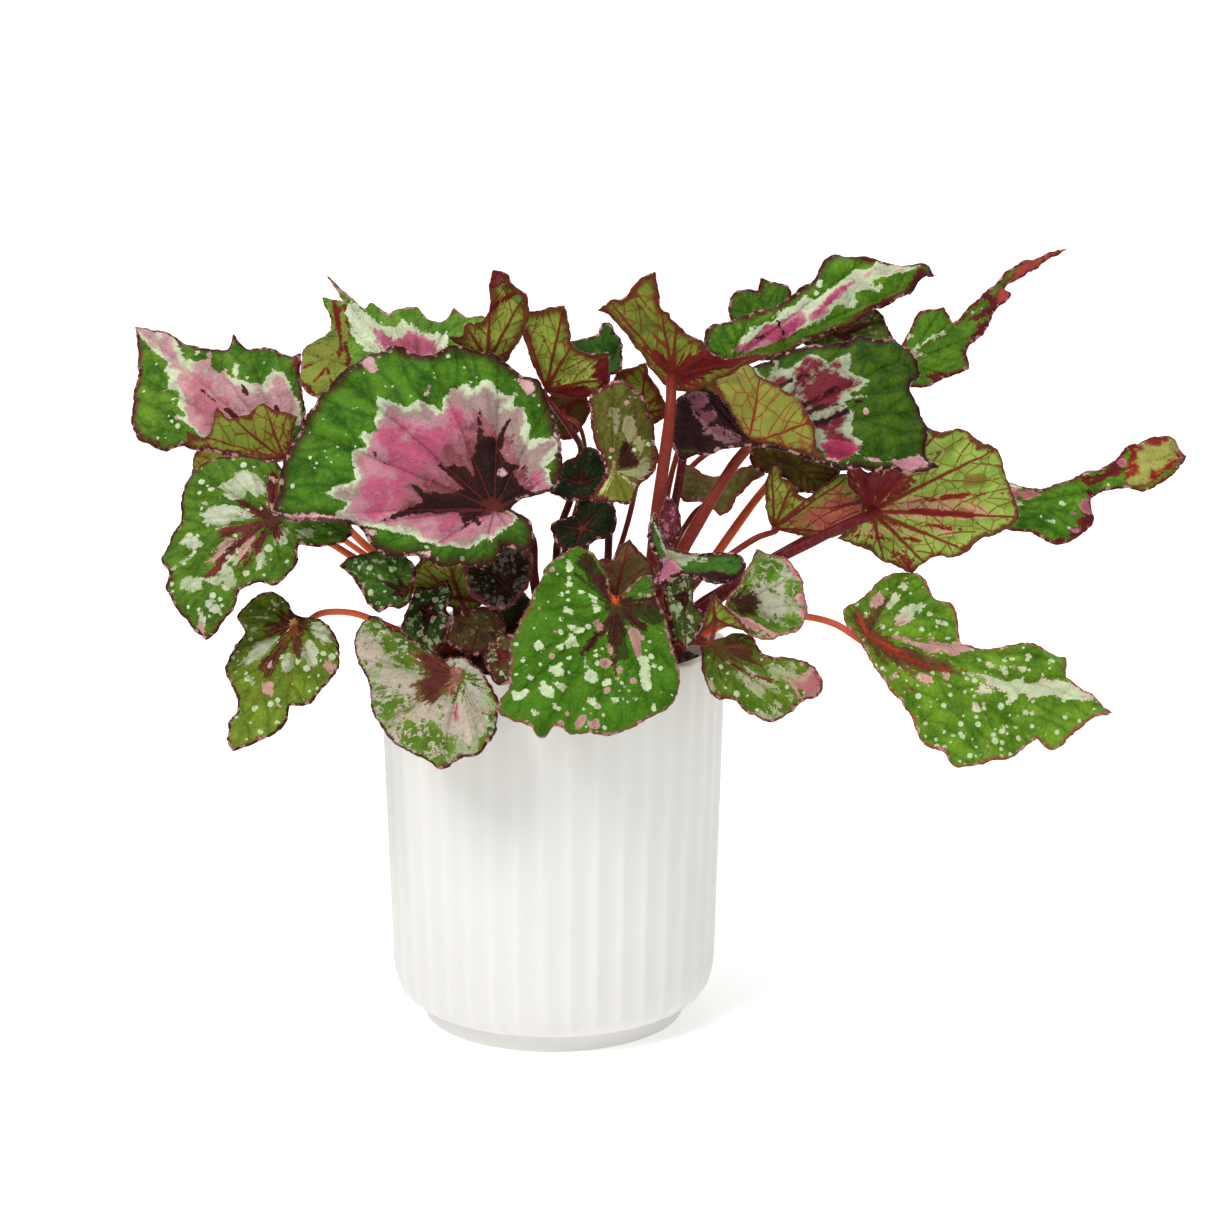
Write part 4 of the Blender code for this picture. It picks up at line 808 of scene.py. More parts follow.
mint = tone(184, 198, 158)
paleMint = tone(190, 200, 166)
silver = tone(156, 166, 130)
blush = tone(178, 136, 126)
layers = {
    "big_pink": [
        layer(paleMint, tone(152, 126, 120), 3.6, 1.2, [(-75, 273.5), (-70, 271.5), (-66, 271),
            (-62, 268), (-58, 271), (-50, 269), (-47, 266.5), (-46, 272), (-43, 275), (-36, 278),
            (-34.5, 275), (-31, 278), (-27, 280), (-24, 278.5), (-22, 275), (-15.5, 272.5), (-16, 269),
            (-12.5, 267), (-9, 260), (-9.5, 254.5), (-6, 255), (1, 255), (4, 252.5), (0.5, 246),
            (-2, 243), (0, 236), (-6, 229.5), (-14, 226), (-17, 218), (-26, 211.5), (-36, 207),
            (-43, 207.5), (-57, 211.5), (-70, 214.5), (-84, 219), (-93, 222), (-88, 226), (-93, 229),
            (-98, 231.5), (-86, 234.5), (-83, 236), (-85, 244), (-86, 249), (-79, 250), (-80, 253),
            (-82, 256), (-73, 256), (-75, 262)]),
        layer(tone(176, 122, 132), tone(168, 78, 104), 9, 2.2, [(-73, 268), (-68, 268), (-63, 264),
            (-57, 261), (-50, 262), (-44, 268), (-39, 272), (-36, 268), (-33, 262), (-31, 250),
            (-27, 240), (-20, 246), (-17, 240), (-20, 232), (-17, 219), (-24, 214.5), (-33, 211.5),
            (-42, 209.5), (-52, 212), (-62, 216), (-82, 221), (-88, 224), (-86, 229), (-80, 234),
            (-82, 246), (-76, 251), (-78, 254), (-70, 258)], (-7, 238, -4, 234, 2.6)),
        layer(tone(146, 88, 96), tone(112, 58, 62), 9, 3, [(-66, 224), (-62, 236), (-50, 246),
            (-40, 256), (-33, 266), (-24, 262), (-17, 254), (-12, 244), (-8, 234), (-10, 226),
            (-24, 222), (-46, 220)], holes=0.12),
        layer(tone(48, 18, 14), tone(34, 12, 12), 3, 1.0, [(-73, 219.3), (-58, 222.3), (-48.5, 222.5),
            (-41, 223.4), (-38.5, 220), (-40, 214), (-35, 219), (-30, 217), (-31.5, 221), (-24, 223.5),
            (-14, 223.6), (-12, 227), (-5, 229.5), (-13, 235), (-17, 241), (-11, 242.5), (-19, 244.5),
            (-22, 249), (-19, 259), (-17, 264), (-24, 255), (-29, 255), (-31, 268), (-32, 254),
            (-34, 246), (-34, 238), (-36, 242), (-46, 243), (-57, 254), (-47, 241), (-38, 233),
            (-46, 230), (-55, 231), (-60, 235), (-56, 227)], (-76, 248, -70, 243, 0.8)),
        layer(tone(180, 136, 138), tone(192, 152, 150), 1, 1, (-118, 221.6, -90, 219.6, 1.1),
            (-79, 291, -76, 285, 2.4), (-12, 280, -10, 277, 2.2), (-15, 273.6, 1.1),
            (2, 260, 3, 257, 1.5), (-52, 277, -53, 273, 1.5), (-90, 217, -76, 214, 1.2),
            (-60, 203, -54, 205, 1.3), (-21, 240, 1.9)),
    ],
    "far_left": [
        layer(paleMint, tone(176, 132, 136), 4.5, 1.2, [(-176.5, 304.5), (-168, 301), (-161, 299),
            (-157, 293), (-155, 289), (-150, 287.5), (-145, 289.5), (-143.5, 286), (-138, 281.5),
            (-131, 279), (-124, 278), (-121, 279.5), (-118, 284), (-113, 282), (-110.5, 276),
            (-108, 270), (-107, 262), (-118, 258), (-130, 254), (-148, 254), (-152, 257.5), (-155, 261),
            (-156, 265), (-158, 268), (-159, 274), (-165, 275), (-161, 280), (-164, 283), (-162, 287),
            (-167, 291), (-174, 299)], (-133.5, 286, -133.5, 283, 1.7), (-129, 280.5, 1.2),
            (-160, 272, 1.1), (-159, 263.5, -155, 262, 0.9), (-145, 291, 0.8), (-150, 291.5, 0.7),
            (-138, 284, 0.6)),
        layer(tone(184, 136, 138), tone(172, 104, 116), 4, 1.5, [(-158, 281), (-150, 284), (-142, 279),
            (-136, 270), (-131, 262), (-142, 258), (-150, 257), (-155, 264)]),
        layer(tone(66, 20, 26), tone(50, 14, 20), 2, 0.7, (-148, 274.5, -138, 266.5, 0.6),
            (-138, 266.5, -131, 261.5, 1.3), (-117, 268, -115, 263, 0.8), (-131, 277, -129, 273, 0.8)),
        layer(tone(112, 48, 44), tone(86, 30, 26), 2, 2, (-176, 296, -176, 282, 1.6),
            (-179, 272, -179, 258, 2.2), (-178, 258, -168, 253, 1.8), (-108, 292, -106, 284, 1.8)),
    ],
    "left_middle": [
        layer(silver, tone(176, 182, 156), 3, 1.5, [(-144, 234.5), (-137, 235.5), (-136, 239),
            (-133, 240.5), (-127, 239.5), (-123, 236), (-120.5, 232), (-121, 229.5), (-126, 230),
            (-130, 232), (-132, 228.5), (-138, 228), (-140, 231)], [(-151, 222), (-145, 225),
            (-140, 226), (-135, 225), (-128, 222.5), (-126, 221), (-131, 219.5), (-137, 219),
            (-139, 216), (-144, 215.5), (-147, 218.5)], [(-120, 212), (-114, 217), (-112, 215),
            (-115, 210), (-119, 208.5)], [(-110, 215), (-105, 216), (-101, 215), (-103, 212),
            (-110, 211.5)], (-157, 210, -152, 208, 1.8), (-141, 203, -136, 202, 2.4),
            (-141, 197, -139, 192.5, 2.4), (-158, 192, -154, 190.5, 2.6), (-148, 182, -146, 180.5, 2.4),
            (-152, 178, -152, 173, 1.8), (-147, 193, -144, 192, 1.5), (-126, 205, -125.5, 200, 1.7),
            (-163, 198, -155, 204, 1), (-150, 227, -148, 226, 1.4)),
        layer(blush, tone(170, 140, 122), 3, 1.4, [(-152, 199), (-145, 206), (-140, 210.5), (-131, 213),
            (-126, 214), (-128, 209), (-134, 205), (-138, 207), (-146, 201)],
            (-129, 208, -134, 204, 1.6), (-153, 175, -151, 170, 1.2)),
        layer(tone(98, 40, 34), tone(70, 22, 20), 3, 2, (-120, 221, -133, 227, 2),
            (-120, 221, -140, 213, 2), (-120, 221, -138, 206, 2.1), (-138, 206, -147, 195, 0.9),
            (-120, 221, -127, 207, 1.7), (-127, 207, -134, 198, 0.8), (-120, 238, -119, 214, 2.6),
            (-121, 221, 4)),
        layer(tone(206, 140, 140), blush, 1, 1.3, (-123, 239, -118, 237, 0.7),
            (-122, 227, -119, 224, 0.8)),
    ],
    "lower_left": [
        layer(tone(84, 50, 28), tone(72, 36, 22), 4, 2.5, (-112, 175, 7), (-112, 175, -124, 154, 3.2),
            (-112, 175, -110, 160, 2.6), (-112, 175, -122, 171, 2.4)),
        layer(silver, tone(182, 188, 158), 2.5, 1.2, [(-137, 155.5), (-133, 158), (-131, 161),
            (-128, 166), (-124, 167), (-118, 168.5), (-119, 166), (-122, 161), (-127, 157),
            (-133, 155)], [(-117, 159), (-113, 160.5), (-111, 158), (-111.5, 155), (-116, 151),
            (-118, 152)], [(-108, 165.5), (-105, 167), (-102, 163), (-102, 158), (-103, 154),
            (-107, 155), (-109, 160)], [(-104, 175), (-100, 175), (-97, 171), (-95, 168), (-99, 165),
            (-103, 169), (-105, 172)], (-127, 177, -123, 177, 1), (-132, 150, -130, 147, 1.3),
            (-129, 171, 1.6), (-120, 183, 0.9)),
        layer(blush, blush, 2, 1.5, (-98, 156, -95, 153, 1.5), (-124, 146, -121, 142, 1.5),
            (-123, 155, 0.9)),
        layer(tone(196, 138, 92), tone(226, 178, 124), 1, 0.8, (-112, 175.3, 1.5),
            (-112, 175, -118, 166, 0.5)),
    ],
    "pot_left": [
        layer(tone(146, 154, 116), tone(174, 160, 144), 6, 3, [(-89, 173), (-80, 175), (-74, 167),
            (-66, 160), (-56, 154), (-50, 146), (-44, 142), (-38, 144), (-30, 152), (-27, 142),
            (-28, 130), (-33, 118), (-42, 114), (-52, 111), (-62, 115), (-72, 120), (-80, 130),
            (-84, 150), (-88, 162)], holes=0.2),
        layer(tone(98, 124, 44), tone(78, 108, 26), 3, 3, [(-76, 172), (-68, 169), (-64, 162),
            (-57, 160), (-60, 152), (-68, 154), (-73, 158), (-76, 164)], [(-80, 147), (-72, 147),
            (-68, 143), (-59, 141), (-61, 134), (-68, 132), (-74, 129), (-79, 137)], [(-68, 129),
            (-61, 132), (-56, 130), (-50, 128), (-43, 123), (-41, 117), (-45, 113), (-51, 111),
            (-59, 114), (-64, 121)], [(-39, 146), (-33, 145), (-29, 139), (-27, 133), (-32, 134),
            (-38, 139)], holes=0.42),
        layer(tone(98, 76, 36), tone(84, 36, 26), 4, 3, [(-62, 161), (-54, 163), (-46, 160), (-41, 154),
            (-41, 148), (-45, 142), (-51, 138), (-60, 139), (-61, 146), (-56, 152)]),
        layer(tone(150, 154, 126), tone(162, 158, 140), 2, 2, (-44, 159, -36, 156, 2.6),
            (-36, 156, -31, 152, 2.6), (-36, 146, -32, 138, 2.8)),
        layer(tone(168, 104, 108), tone(150, 50, 66), 1.5, 1.6, (-42, 153, -44, 143, 1.7),
            (-44, 143, -42, 131, 0.8)),
    ],
    "top_left": [
        layer(tone(92, 30, 20), tone(118, 126, 48), 2.4, 1.2, [(-110, 290), (-103, 296), (-92, 300),
            (-90, 312), (-86, 316), (-85, 300), (-85, 285), (-92, 278), (-100, 273), (-108, 280)]),
        layer(paleMint, paleMint, 3, 1.6, [(-87, 319), (-83, 314), (-79, 311), (-73, 305), (-68, 302),
            (-63, 306), (-57, 303), (-55, 300), (-45, 300), (-44, 296), (-48, 290), (-80, 292),
            (-84, 300), (-87, 308)]),
        layer(tone(186, 126, 138), tone(168, 82, 108), 2.5, 2, [(-76, 304), (-70, 301), (-66, 298),
            (-62, 301.5), (-56, 300), (-50, 297), (-46, 291), (-60, 288), (-73, 294)]),
        layer(tone(206, 150, 150), tone(150, 84, 76), 1, 1, (-92, 330, -84, 316, 2.4),
            (-100, 318, -90, 316, 1.5)),
        layer(tone(106, 28, 20), tone(98, 22, 18), 1, 0.5, (-91.5, 314, -88.5, 292, 1.1),
            (-89, 292, -107, 285, 0.4), (-89, 291, -101, 279, 0.4), (-98, 288.5, -103, 297, 0.3),
            (-95, 285, -93, 277, 0.3), (-109, 279, -100, 273, 0.8), (-109, 281, -107, 292, 0.7),
            (-107, 292, -97, 301, 0.7)),
    ],
    "pot_front": [
        layer(tone(44, 62, 8), tone(48, 32, 10), 5, 2, (27, 184, 14, 200, 4.5), (27, 184, 44, 178, 5),
            (27, 184, 30, 160, 3.5)),
        layer(tone(62, 26, 18), tone(56, 18, 14), 2, 1.8, (27, 184, 27, 166, 2.6),
            (27, 166, 27, 151, 1.2), (27, 178, 13, 160, 1.4), (27, 184, 20, 194, 3),
            (28, 182, 40, 172, 1.8), (28, 184, 46, 184, 2)),
        layer(mint, mint, 2, 1, [(5, 165), (8, 168.5), (12, 166.5), (11, 163), (7, 162.5)],
            (-6, 164, 2.1), (7, 158, 1.5), (14, 157, 14, 154, 1.4), (16, 149.5, 3), (4, 145, 2.5),
            (-4, 144, -1, 142, 2.1), (-15, 141, -12, 143, 1.4), (17, 139, 1.8), (-1, 154, 3, 151, 1.9),
            (8, 172, 12, 171, 1.3), (6, 180, 8, 178, 1.5), (17, 186, 19, 181, 1.5), (12, 187, 1.3),
            (7, 191.5, 1.5), (27, 139.5, 1.4), (39, 158, 41, 147, 2.3), (-8, 134, 1.3), (1, 137, 1.4),
            (-13, 158, 1.2), (24, 147, 1.3), (3, 163, 1.2), (7, 202, 8, 199, 1.5), (-10, 150, 1.4),
            (44, 155, 1.2), (44, 137, 1.2), (36, 140, 1.1), (31, 145, 1)),
        layer(tone(172, 140, 122), tone(164, 116, 114), 1.5, 1, (22.5, 156, 2.3), (29, 152, 1.7),
            (19, 175, 20, 172, 1.4), (24, 164, 25, 161, 1.1), (35, 170, 37, 161, 2.3),
            (10, 129.5, 13, 131.5, 1.8), (18, 129, 2), (32, 173, 1), (28, 148, 0.9), (34, 152, 0.8),
            (-17, 172, 1.6), (-12, 130, 1.2)),
        layer(tone(150, 52, 26), tone(206, 84, 34), 1.2, 1, (27, 184, 1.9), (27, 184, 24, 190, 0.5),
            (27, 184, 34, 188, 0.5)),
    ],
    "right_star": [
        layer(tone(48, 20, 22), tone(40, 16, 18), 3, 1.5, [(50, 252), (53, 272), (62, 279), (72, 274),
            (80, 264), (88, 256), (84, 250), (66, 248)]),
        layer(tone(130, 92, 94), tone(104, 58, 68), 3, 1.6, [(56, 274), (60, 276), (66, 275), (68, 268),
            (70, 262), (74, 259), (80, 256.5), (82, 253.5), (74, 252.5), (66, 255), (62, 261),
            (60, 268)], holes=0.35),
        layer(tone(158, 166, 138), tone(108, 32, 44), 6, 1.8, [(81, 279), (82, 284), (86, 284.5),
            (90, 280), (92, 283), (94, 288.5), (96, 290), (98, 286), (101, 283), (105, 287),
            (108, 290.5), (113, 290), (118, 288), (122, 290), (127, 290), (128, 287), (126, 282),
            (134, 280), (133, 277), (126, 272), (134, 272), (128, 270.5), (122, 266), (127, 265.5),
            (128, 261), (127.5, 256), (131, 253), (130.5, 248.5), (127, 246), (117, 247), (112, 253),
            (106, 262), (98, 272), (92, 276), (86, 275)]),
        layer(tone(158, 66, 90), tone(140, 42, 68), 2, 1.2, [(114, 253), (119, 253.5), (128, 252.5),
            (130, 250), (129, 247.5), (124, 245.5), (117, 247)]),
        layer(tone(44, 18, 18), tone(36, 14, 16), 1, 1.2, (100, 265, 121, 276, 0.8),
            (103, 263, 113, 267.5, 1), (113, 267.5, 131, 270, 0.9), (106, 261, 117, 262.5, 1.2),
            (117, 262.5, 125, 265.5, 0.9), (96, 276.5, 110, 283, 0.5), (92, 275, 99, 273, 1.2)),
        layer(tone(204, 156, 160), tone(186, 128, 138), 1, 1, [(143, 245.5), (158, 247.5), (163, 241.5),
            (156, 241.5), (146, 243)], (118, 246.6, 126, 245.6, 0.5), (132, 246.5, 141, 245.8, 0.8),
            (133, 265.5, 1)),
    ],
    "top_right": [
        layer(mint, tone(182, 186, 158), 4, 1.1, [(78, 294), (80, 298), (85, 303), (93, 305), (97, 311),
            (103, 313), (106, 316.5), (111, 313.5), (114, 316), (119, 320), (124, 325), (128, 328),
            (133, 326.5), (137, 330), (142, 329), (146, 331), (152, 330), (157, 329), (155, 327.5),
            (150, 326.5), (145, 325), (138, 322.5), (134, 320), (136, 319), (131, 317), (128, 315.5),
            (129, 313), (127, 311), (120, 311), (117, 307), (113, 305), (104, 301), (96, 297),
            (86, 293)], (113, 322, 1.3), (112, 317, 0.9), (136, 318, 138, 318.8, 0.8)),
        layer(tone(180, 118, 130), tone(158, 62, 94), 2, 1.3, [(76, 292.5), (83, 297), (90, 303),
            (96, 305), (100, 308), (105, 310), (107, 305), (103, 300), (98, 297.5), (90, 295),
            (84, 292.5)], (110, 306, 119, 315, 1.6), (118, 314, 123, 318.5, 1.8),
            (112, 306.5, 122, 312, 0.8), (125, 320, 127, 321.5, 1.2)),
        layer(tone(188, 140, 138), tone(186, 132, 134), 1, 1, (132, 323.5, 136, 327, 0.7),
            (140, 325, 149, 327, 0.6), (151, 329, 155, 328.5, 0.9)),
        layer(tone(52, 16, 24), tone(40, 12, 18), 1, 1, (95, 306, 98, 300, 0.7),
            (86, 298, 92, 300, 0.5)),
        layer(tone(84, 26, 24), tone(70, 18, 20), 2, 1.6, (116, 334, 126, 334, 1.6),
            (126, 334, 134, 331, 1.2), (155, 325, 151, 315, 2.2), (151, 315, 140, 314, 1.5),
            (140, 314, 129, 306, 1.2)),
    ],
    "red_tip": [
        layer(mint, mint, 2, 1, (150, 290.5, 158, 296.5, 0.6), (158, 296.5, 166, 301, 0.9),
            (151, 299.5, 2), (154, 291, 158, 291, 0.8), (174, 295.5, 0.7), (178, 309, 182, 311, 0.6),
            (185, 315, 1.2)),
        layer(tone(112, 36, 32), tone(160, 62, 56), 1.6, 1.2, [(186, 316), (192, 323), (198, 330),
            (206, 334), (220, 337), (208, 329), (198, 323), (194, 313), (188, 311)]),
        layer(tone(92, 26, 26), tone(80, 20, 22), 1, 2, (179, 306, 187, 311, 2.2),
            (183, 318, 187, 313, 2.4), (176, 294, 177, 284, 1.6), (177, 284, 160, 282, 1.2),
            (176, 296, 184, 304, 1.6)),
    ],
    "far_right": [
        layer(mint, silver, 2, 1.5, (196, 237, 204, 234.5, 1.8), (212, 236.5, 221, 238, 1.3),
            (228, 238.7, 1.2), (206, 233.5, 216, 233, 0.7), (212, 221, 214, 219, 1.2), (199, 228, 1.4)),
        layer(tone(190, 122, 128), tone(170, 92, 104), 2, 1.6, (196, 231.5, 208, 231.5, 1.8)),
        layer(tone(96, 30, 24), tone(76, 20, 18), 2, 1.8, (228, 237, 233, 226, 2.2),
            (233, 226, 226, 214, 2.6), (226, 214, 214, 210.5, 1.2), (243, 251, 239, 241, 2.6),
            (239, 241, 228, 234.5, 1.2)),
        layer(tone(176, 108, 116), tone(150, 84, 94), 1.2, 1, (229, 226, 3.6), (223, 222.5, 1.4),
            (217, 222.5, 0.7), (243, 245, 2), (226, 216, 224, 215, 0.7)),
        layer(tone(124, 26, 22), tone(150, 150, 74), 6, 1.6, [(246, 247), (246, 252), (250, 256),
            (262, 257), (273, 251), (265, 243), (258, 237), (250, 233.5), (243, 236), (248, 241)]),
    ],
    "left_under": [
        layer(tone(150, 112, 62), tone(172, 92, 74), 4, 3, [(99, 218), (104, 225), (112, 228),
            (122, 234), (131, 232), (134, 226), (132, 218), (124, 213.5), (112, 213), (103, 215)]),
    ],
    "right_under": [
        layer(tone(170, 156, 90), tone(176, 138, 104), 4, 3, [(138, 227), (150, 231), (165, 231),
            (185, 227), (190, 223), (176, 221), (160, 220), (145, 221)], (118, 215.5, 172, 215.5, 1.6),
            (112, 219, 128, 221, 1.6)),
        layer(tone(116, 40, 34), tone(122, 44, 48), 3, 3, [(123, 244), (130, 247), (140, 243),
            (150, 243), (155, 238), (150, 233), (140, 228), (134, 226), (128, 233)], [(90, 240),
            (93, 230), (95, 217), (104, 217), (114, 221), (106, 226), (101, 232), (97, 243)],
            (154, 201, 150, 205, 2)),
        layer(tone(128, 40, 34), tone(108, 22, 26), 1.5, 1, (136, 226, 194, 232, 0.5),
            (136, 226, 180, 222, 0.5), (126, 221, 176, 216, 0.6), (120, 214, 160, 211, 0.6),
            (136, 226, 133, 243, 1.6), (136, 226, 106, 222, 0.9), (136, 226, 120, 231, 0.7),
            (96, 219, 97, 240, 2.4)),
    ],
    "lower_right": [
        layer(tone(92, 78, 32), tone(84, 52, 26), 4, 3, [(128, 184), (134, 178), (140, 172), (146, 168),
            (150, 164), (172, 158), (176, 152), (160, 150), (146, 156), (136, 164), (130, 174)],
            (137, 172, 142, 184, 3)),
        layer(tone(196, 186, 160), mint, 2, 1.5, [(147, 176), (151, 181), (157, 183), (163, 184),
            (161, 181), (157, 178), (154, 175), (150, 173)], [(176, 152.5), (182, 153), (190, 150),
            (198, 148), (203, 150), (205, 146), (212, 149), (219, 149), (224, 147), (232, 145),
            (243, 142), (236, 140), (226, 140), (216, 141), (208, 139), (203, 141), (198, 138),
            (196, 143), (190, 145), (184, 149)], (148, 186, 145, 181, 1.3), (203, 153, 1.9),
            (195, 153, 1.5), (189, 156, 191, 155, 1.3), (183, 137, 184, 135, 1.6), (196, 127, 1.3),
            (208, 134, 1), (151, 190, 1), (168, 174, 0.8), (171, 167.5, 1), (205, 160, 0.9),
            (185, 143, 188, 142, 1.3)),
        layer(tone(200, 150, 142), blush, 2, 1.6, [(137, 186), (141, 188), (143, 185), (140, 181),
            (136, 182)], [(147, 169), (152, 168), (158, 166), (165, 166.5), (180, 166), (182, 163),
            (176, 161), (172, 159), (168, 161.5), (163, 159), (158, 163), (150, 166)],
            (148, 174, 151, 176, 1.3), (231, 144, 241, 142, 1.8), (160, 150, 163, 148, 1.4),
            (170, 150, 171, 146, 1.2), (150, 153, 147, 150, 0.8)),
        layer(tone(126, 40, 26), tone(150, 54, 30), 1.2, 1, (136, 170, 150, 160, 1.7),
            (150, 160, 163, 154, 1.3), (163, 154, 180, 152, 0.7), (136, 170, 131, 180, 0.9),
            (150, 152, 158, 142, 0.9)),
    ],
    "star_fold": [
        layer(silver, tone(160, 140, 130), 2, 1.1, [(42, 226), (46, 223), (48, 214), (51, 208),
            (56, 206.5), (64, 207), (72, 206.5), (64, 204.5), (59, 202), (55, 199), (50, 202),
            (47.5, 208), (44.5, 216)], (62, 201, 66, 202.5, 0.5)),
        layer(tone(184, 132, 144), tone(164, 88, 112), 2, 1.2, [(49, 206), (53, 203), (56, 198),
            (51, 195), (45, 191), (41, 189), (43, 195), (46, 201)]),
        layer(tone(58, 18, 24), tone(44, 12, 18), 1.5, 1.5, (56, 196, 68, 195, 1.2),
            (68, 195, 78, 194, 1.8), (40, 214, 47, 200, 1)),
    ],
    "olive_silver": [
        layer(tone(118, 120, 48), tone(102, 106, 36), 2, 1.2, [(20, 231), (24, 240), (28, 241),
            (34, 236), (37, 231), (30, 227)]),
        layer(tone(142, 140, 100), tone(134, 128, 90), 2, 1.1, [(24.5, 269), (28.5, 268.5), (29.5, 264),
            (28.5, 256), (26, 255.5), (25, 262)], [(30, 263), (31, 265.5), (34.5, 265), (35, 260),
            (37, 258), (36, 255), (33, 253.5), (30, 257)], [(34.5, 255), (40, 254.5), (39.5, 251),
            (38, 247.5), (36, 251)], [(36.5, 245), (40, 247), (43, 246), (42, 242), (38, 238),
            (31, 239), (28, 242), (33, 242), (36, 243)]),
        layer(tone(56, 18, 14), tone(42, 12, 10), 2, 1, [(28, 242.5), (28.5, 250), (30, 255), (34, 251),
            (36, 247), (38, 243.5), (34, 242)], (28, 255, 29.5, 262, 0.7)),
        layer(tone(176, 170, 112), tone(166, 160, 96), 1, 0.6, (26.5, 242, 23, 233, 0.8),
            (26.5, 242, 27, 257, 0.6), (26.5, 242, 34, 236, 0.5), (24, 238, 21, 232, 0.9)),
    ],
    "inverted_v": [
        layer(tone(194, 150, 144), tone(178, 118, 120), 1.4, 1, (65, 163, 69, 186, 1.5),
            (69.5, 187, 87, 170, 1.6)),
        layer(tone(120, 34, 20), tone(128, 38, 22), 2, 1.5, (66, 175, 80, 176, 1.6)),
    ],
    "v_left": [
        layer(tone(66, 104, 34), tone(84, 132, 50), 2, 1, [(-22, 321), (-18, 323), (-15, 318),
            (-11, 316), (-9, 312), (-14, 313), (-19, 316)]),
        layer(tone(86, 30, 28), tone(130, 72, 72), 2.6, 1.2, [(-29, 330), (-22, 330), (-17, 325),
            (-19, 321), (-23, 320), (-28, 320)]),
        layer(tone(96, 24, 20), tone(92, 16, 18), 2, 1.6, (-29, 310, -12, 318.5, 1.3),
            (-33, 306, -29, 310, 1)),
    ],
    "v_right": [
        layer(tone(150, 158, 66), tone(152, 164, 74), 3, 1.5, [(8, 286), (12, 291), (18, 291),
            (20, 286), (17, 283), (12, 282)], [(12, 279), (14, 276), (19, 276), (20, 279), (18, 283),
            (14, 281)]),
        layer(tone(104, 24, 20), tone(92, 16, 18), 2, 2, [(-4, 276), (4, 280), (12, 279), (21, 274),
            (4, 274.5)], [(18, 283), (20, 289), (24, 290), (24, 274), (20, 276), (21, 280)]),
    ],
    "centre_under": [
        layer(tone(100, 22, 20), tone(84, 14, 18), 3, 2.2, [(50, 284), (56, 291), (66, 293), (84, 293),
            (76, 287), (66, 283), (56, 278)], [(50, 282), (46, 287), (42, 293), (45, 295), (52, 288)]),
        layer(tone(170, 152, 130), tone(164, 144, 122), 1, 1, (41, 287, 46, 278, 0.9),
            (46, 278, 50, 270, 1.1)),
    ],
    "pink_edge": [
        layer(tone(150, 156, 116), tone(174, 172, 148), 5, 3, [(84, 204), (92, 206), (100, 203),
            (107, 192), (110, 180), (100, 172), (88, 176), (84, 188)], holes=0.2),
        layer(tone(98, 128, 42), tone(76, 112, 24), 2.5, 2.4, [(86, 203), (94, 204), (99, 200),
            (97, 195), (92, 191), (86, 194)], [(101, 193), (107, 193), (108, 186), (105, 183),
            (100, 184)], [(81, 193), (86, 193), (87, 188), (83, 187)], [(85, 174), (93, 178),
            (105, 177), (107, 173), (103, 169), (95, 169)], holes=0.36),
        layer(tone(66, 48, 24), tone(58, 34, 20), 3, 3, [(76, 186), (84, 190), (90, 186), (88, 178),
            (80, 177)]),
        layer(tone(206, 150, 148), tone(176, 104, 110), 2, 1.5, (69, 187, 72, 181, 1.8),
            (72, 181, 84, 175, 1.6), (84, 175, 95, 169.5, 1.8), (95, 169.5, 104, 170, 1),
            (107, 186, 109, 179, 1.8), (100, 203, 106, 194, 1)),
    ],
    "right_front": [
        layer(tone(84, 76, 30), tone(72, 42, 22), 4, 3, [(66, 166), (76, 172), (82, 169), (85, 163),
            (92, 154), (84, 156), (74, 158), (68, 160)]),
        layer(tone(142, 152, 104), tone(160, 156, 126), 3, 2.6, [(77, 153), (85, 154), (93, 149),
            (98, 143), (89, 142), (82, 146)], [(92, 156), (105, 158), (106, 149), (96, 148)],
            [(85, 136), (93, 135), (102, 135), (100, 131), (89, 131)], [(66, 152), (70, 146), (76, 142),
            (72, 141), (67, 145)], (98, 138, 1.4), (104, 141, 1.2), holes=0.24),
        layer(tone(174, 138, 118), tone(166, 104, 106), 4, 2.4, [(99, 150), (108, 150), (112, 158),
            (117, 154), (119, 147), (116, 142), (108, 139), (104, 144)], holes=0.16),
        layer(tone(150, 70, 78), tone(132, 56, 68), 3, 2, (115, 153, 118, 146, 1.6)),
        layer(tone(100, 50, 30), tone(98, 32, 24), 1, 1.2, (69, 163, 84, 152, 0.8),
            (84, 152, 100, 147, 0.5), (70, 163, 80, 165, 0.5), (69, 163, 74, 148, 0.6)),
    ],
}


# Blades are outlined by curves through the drawn points, then filled with triangles along their veins
leafForm = dict(
    thick=0.8, cell=1.2, dome=0.12, wave=0.026, waveReach=5, fold=0.02, ribWidth=3, ribStep=3,
    sinusLimit=3.3, flapSink=0.8, flapRise=10, spacing=1.15, sharp=70, teeth=0.5, tooth=2.9, frill=0.28,
    groove=0.34, grooveWidth=1.0, puff=0.7, puffWidth=2.6, sway=0.38, swayLength=12, ridge=0.45,
    sideStart=0.16, sideEnd=0.93, sideStep=0.125, sideAngle=50, sideLean=12, sideTurn=-2.2,
    sidePace=1.6, sideParts=40, sideShortest=4, rimClear=0.8, rimCalm=3, middleCalm=6, swayFrom=15,
    ridgeWidth=0.8, sideRidge=0.45, sideRidgeWidth=0.6,
    hairGap=0.85, hair=(0.6, 1.3), hairThick=0.055, hairSink=0.4, hairFrom=4, hairStray=0.3,
    hairSpread=0.4, hairLift=0.1, hairRoot=0.15, room=0.6, rimRoom=0.45, toothFrom=8, toothShift=0.37,
    swell=(0.55, 0.45, 3.7), sideShare=1.3, unmarked=-9.0, layers=6, placeShift=7.3, placeUnit=10, seed=100,
)


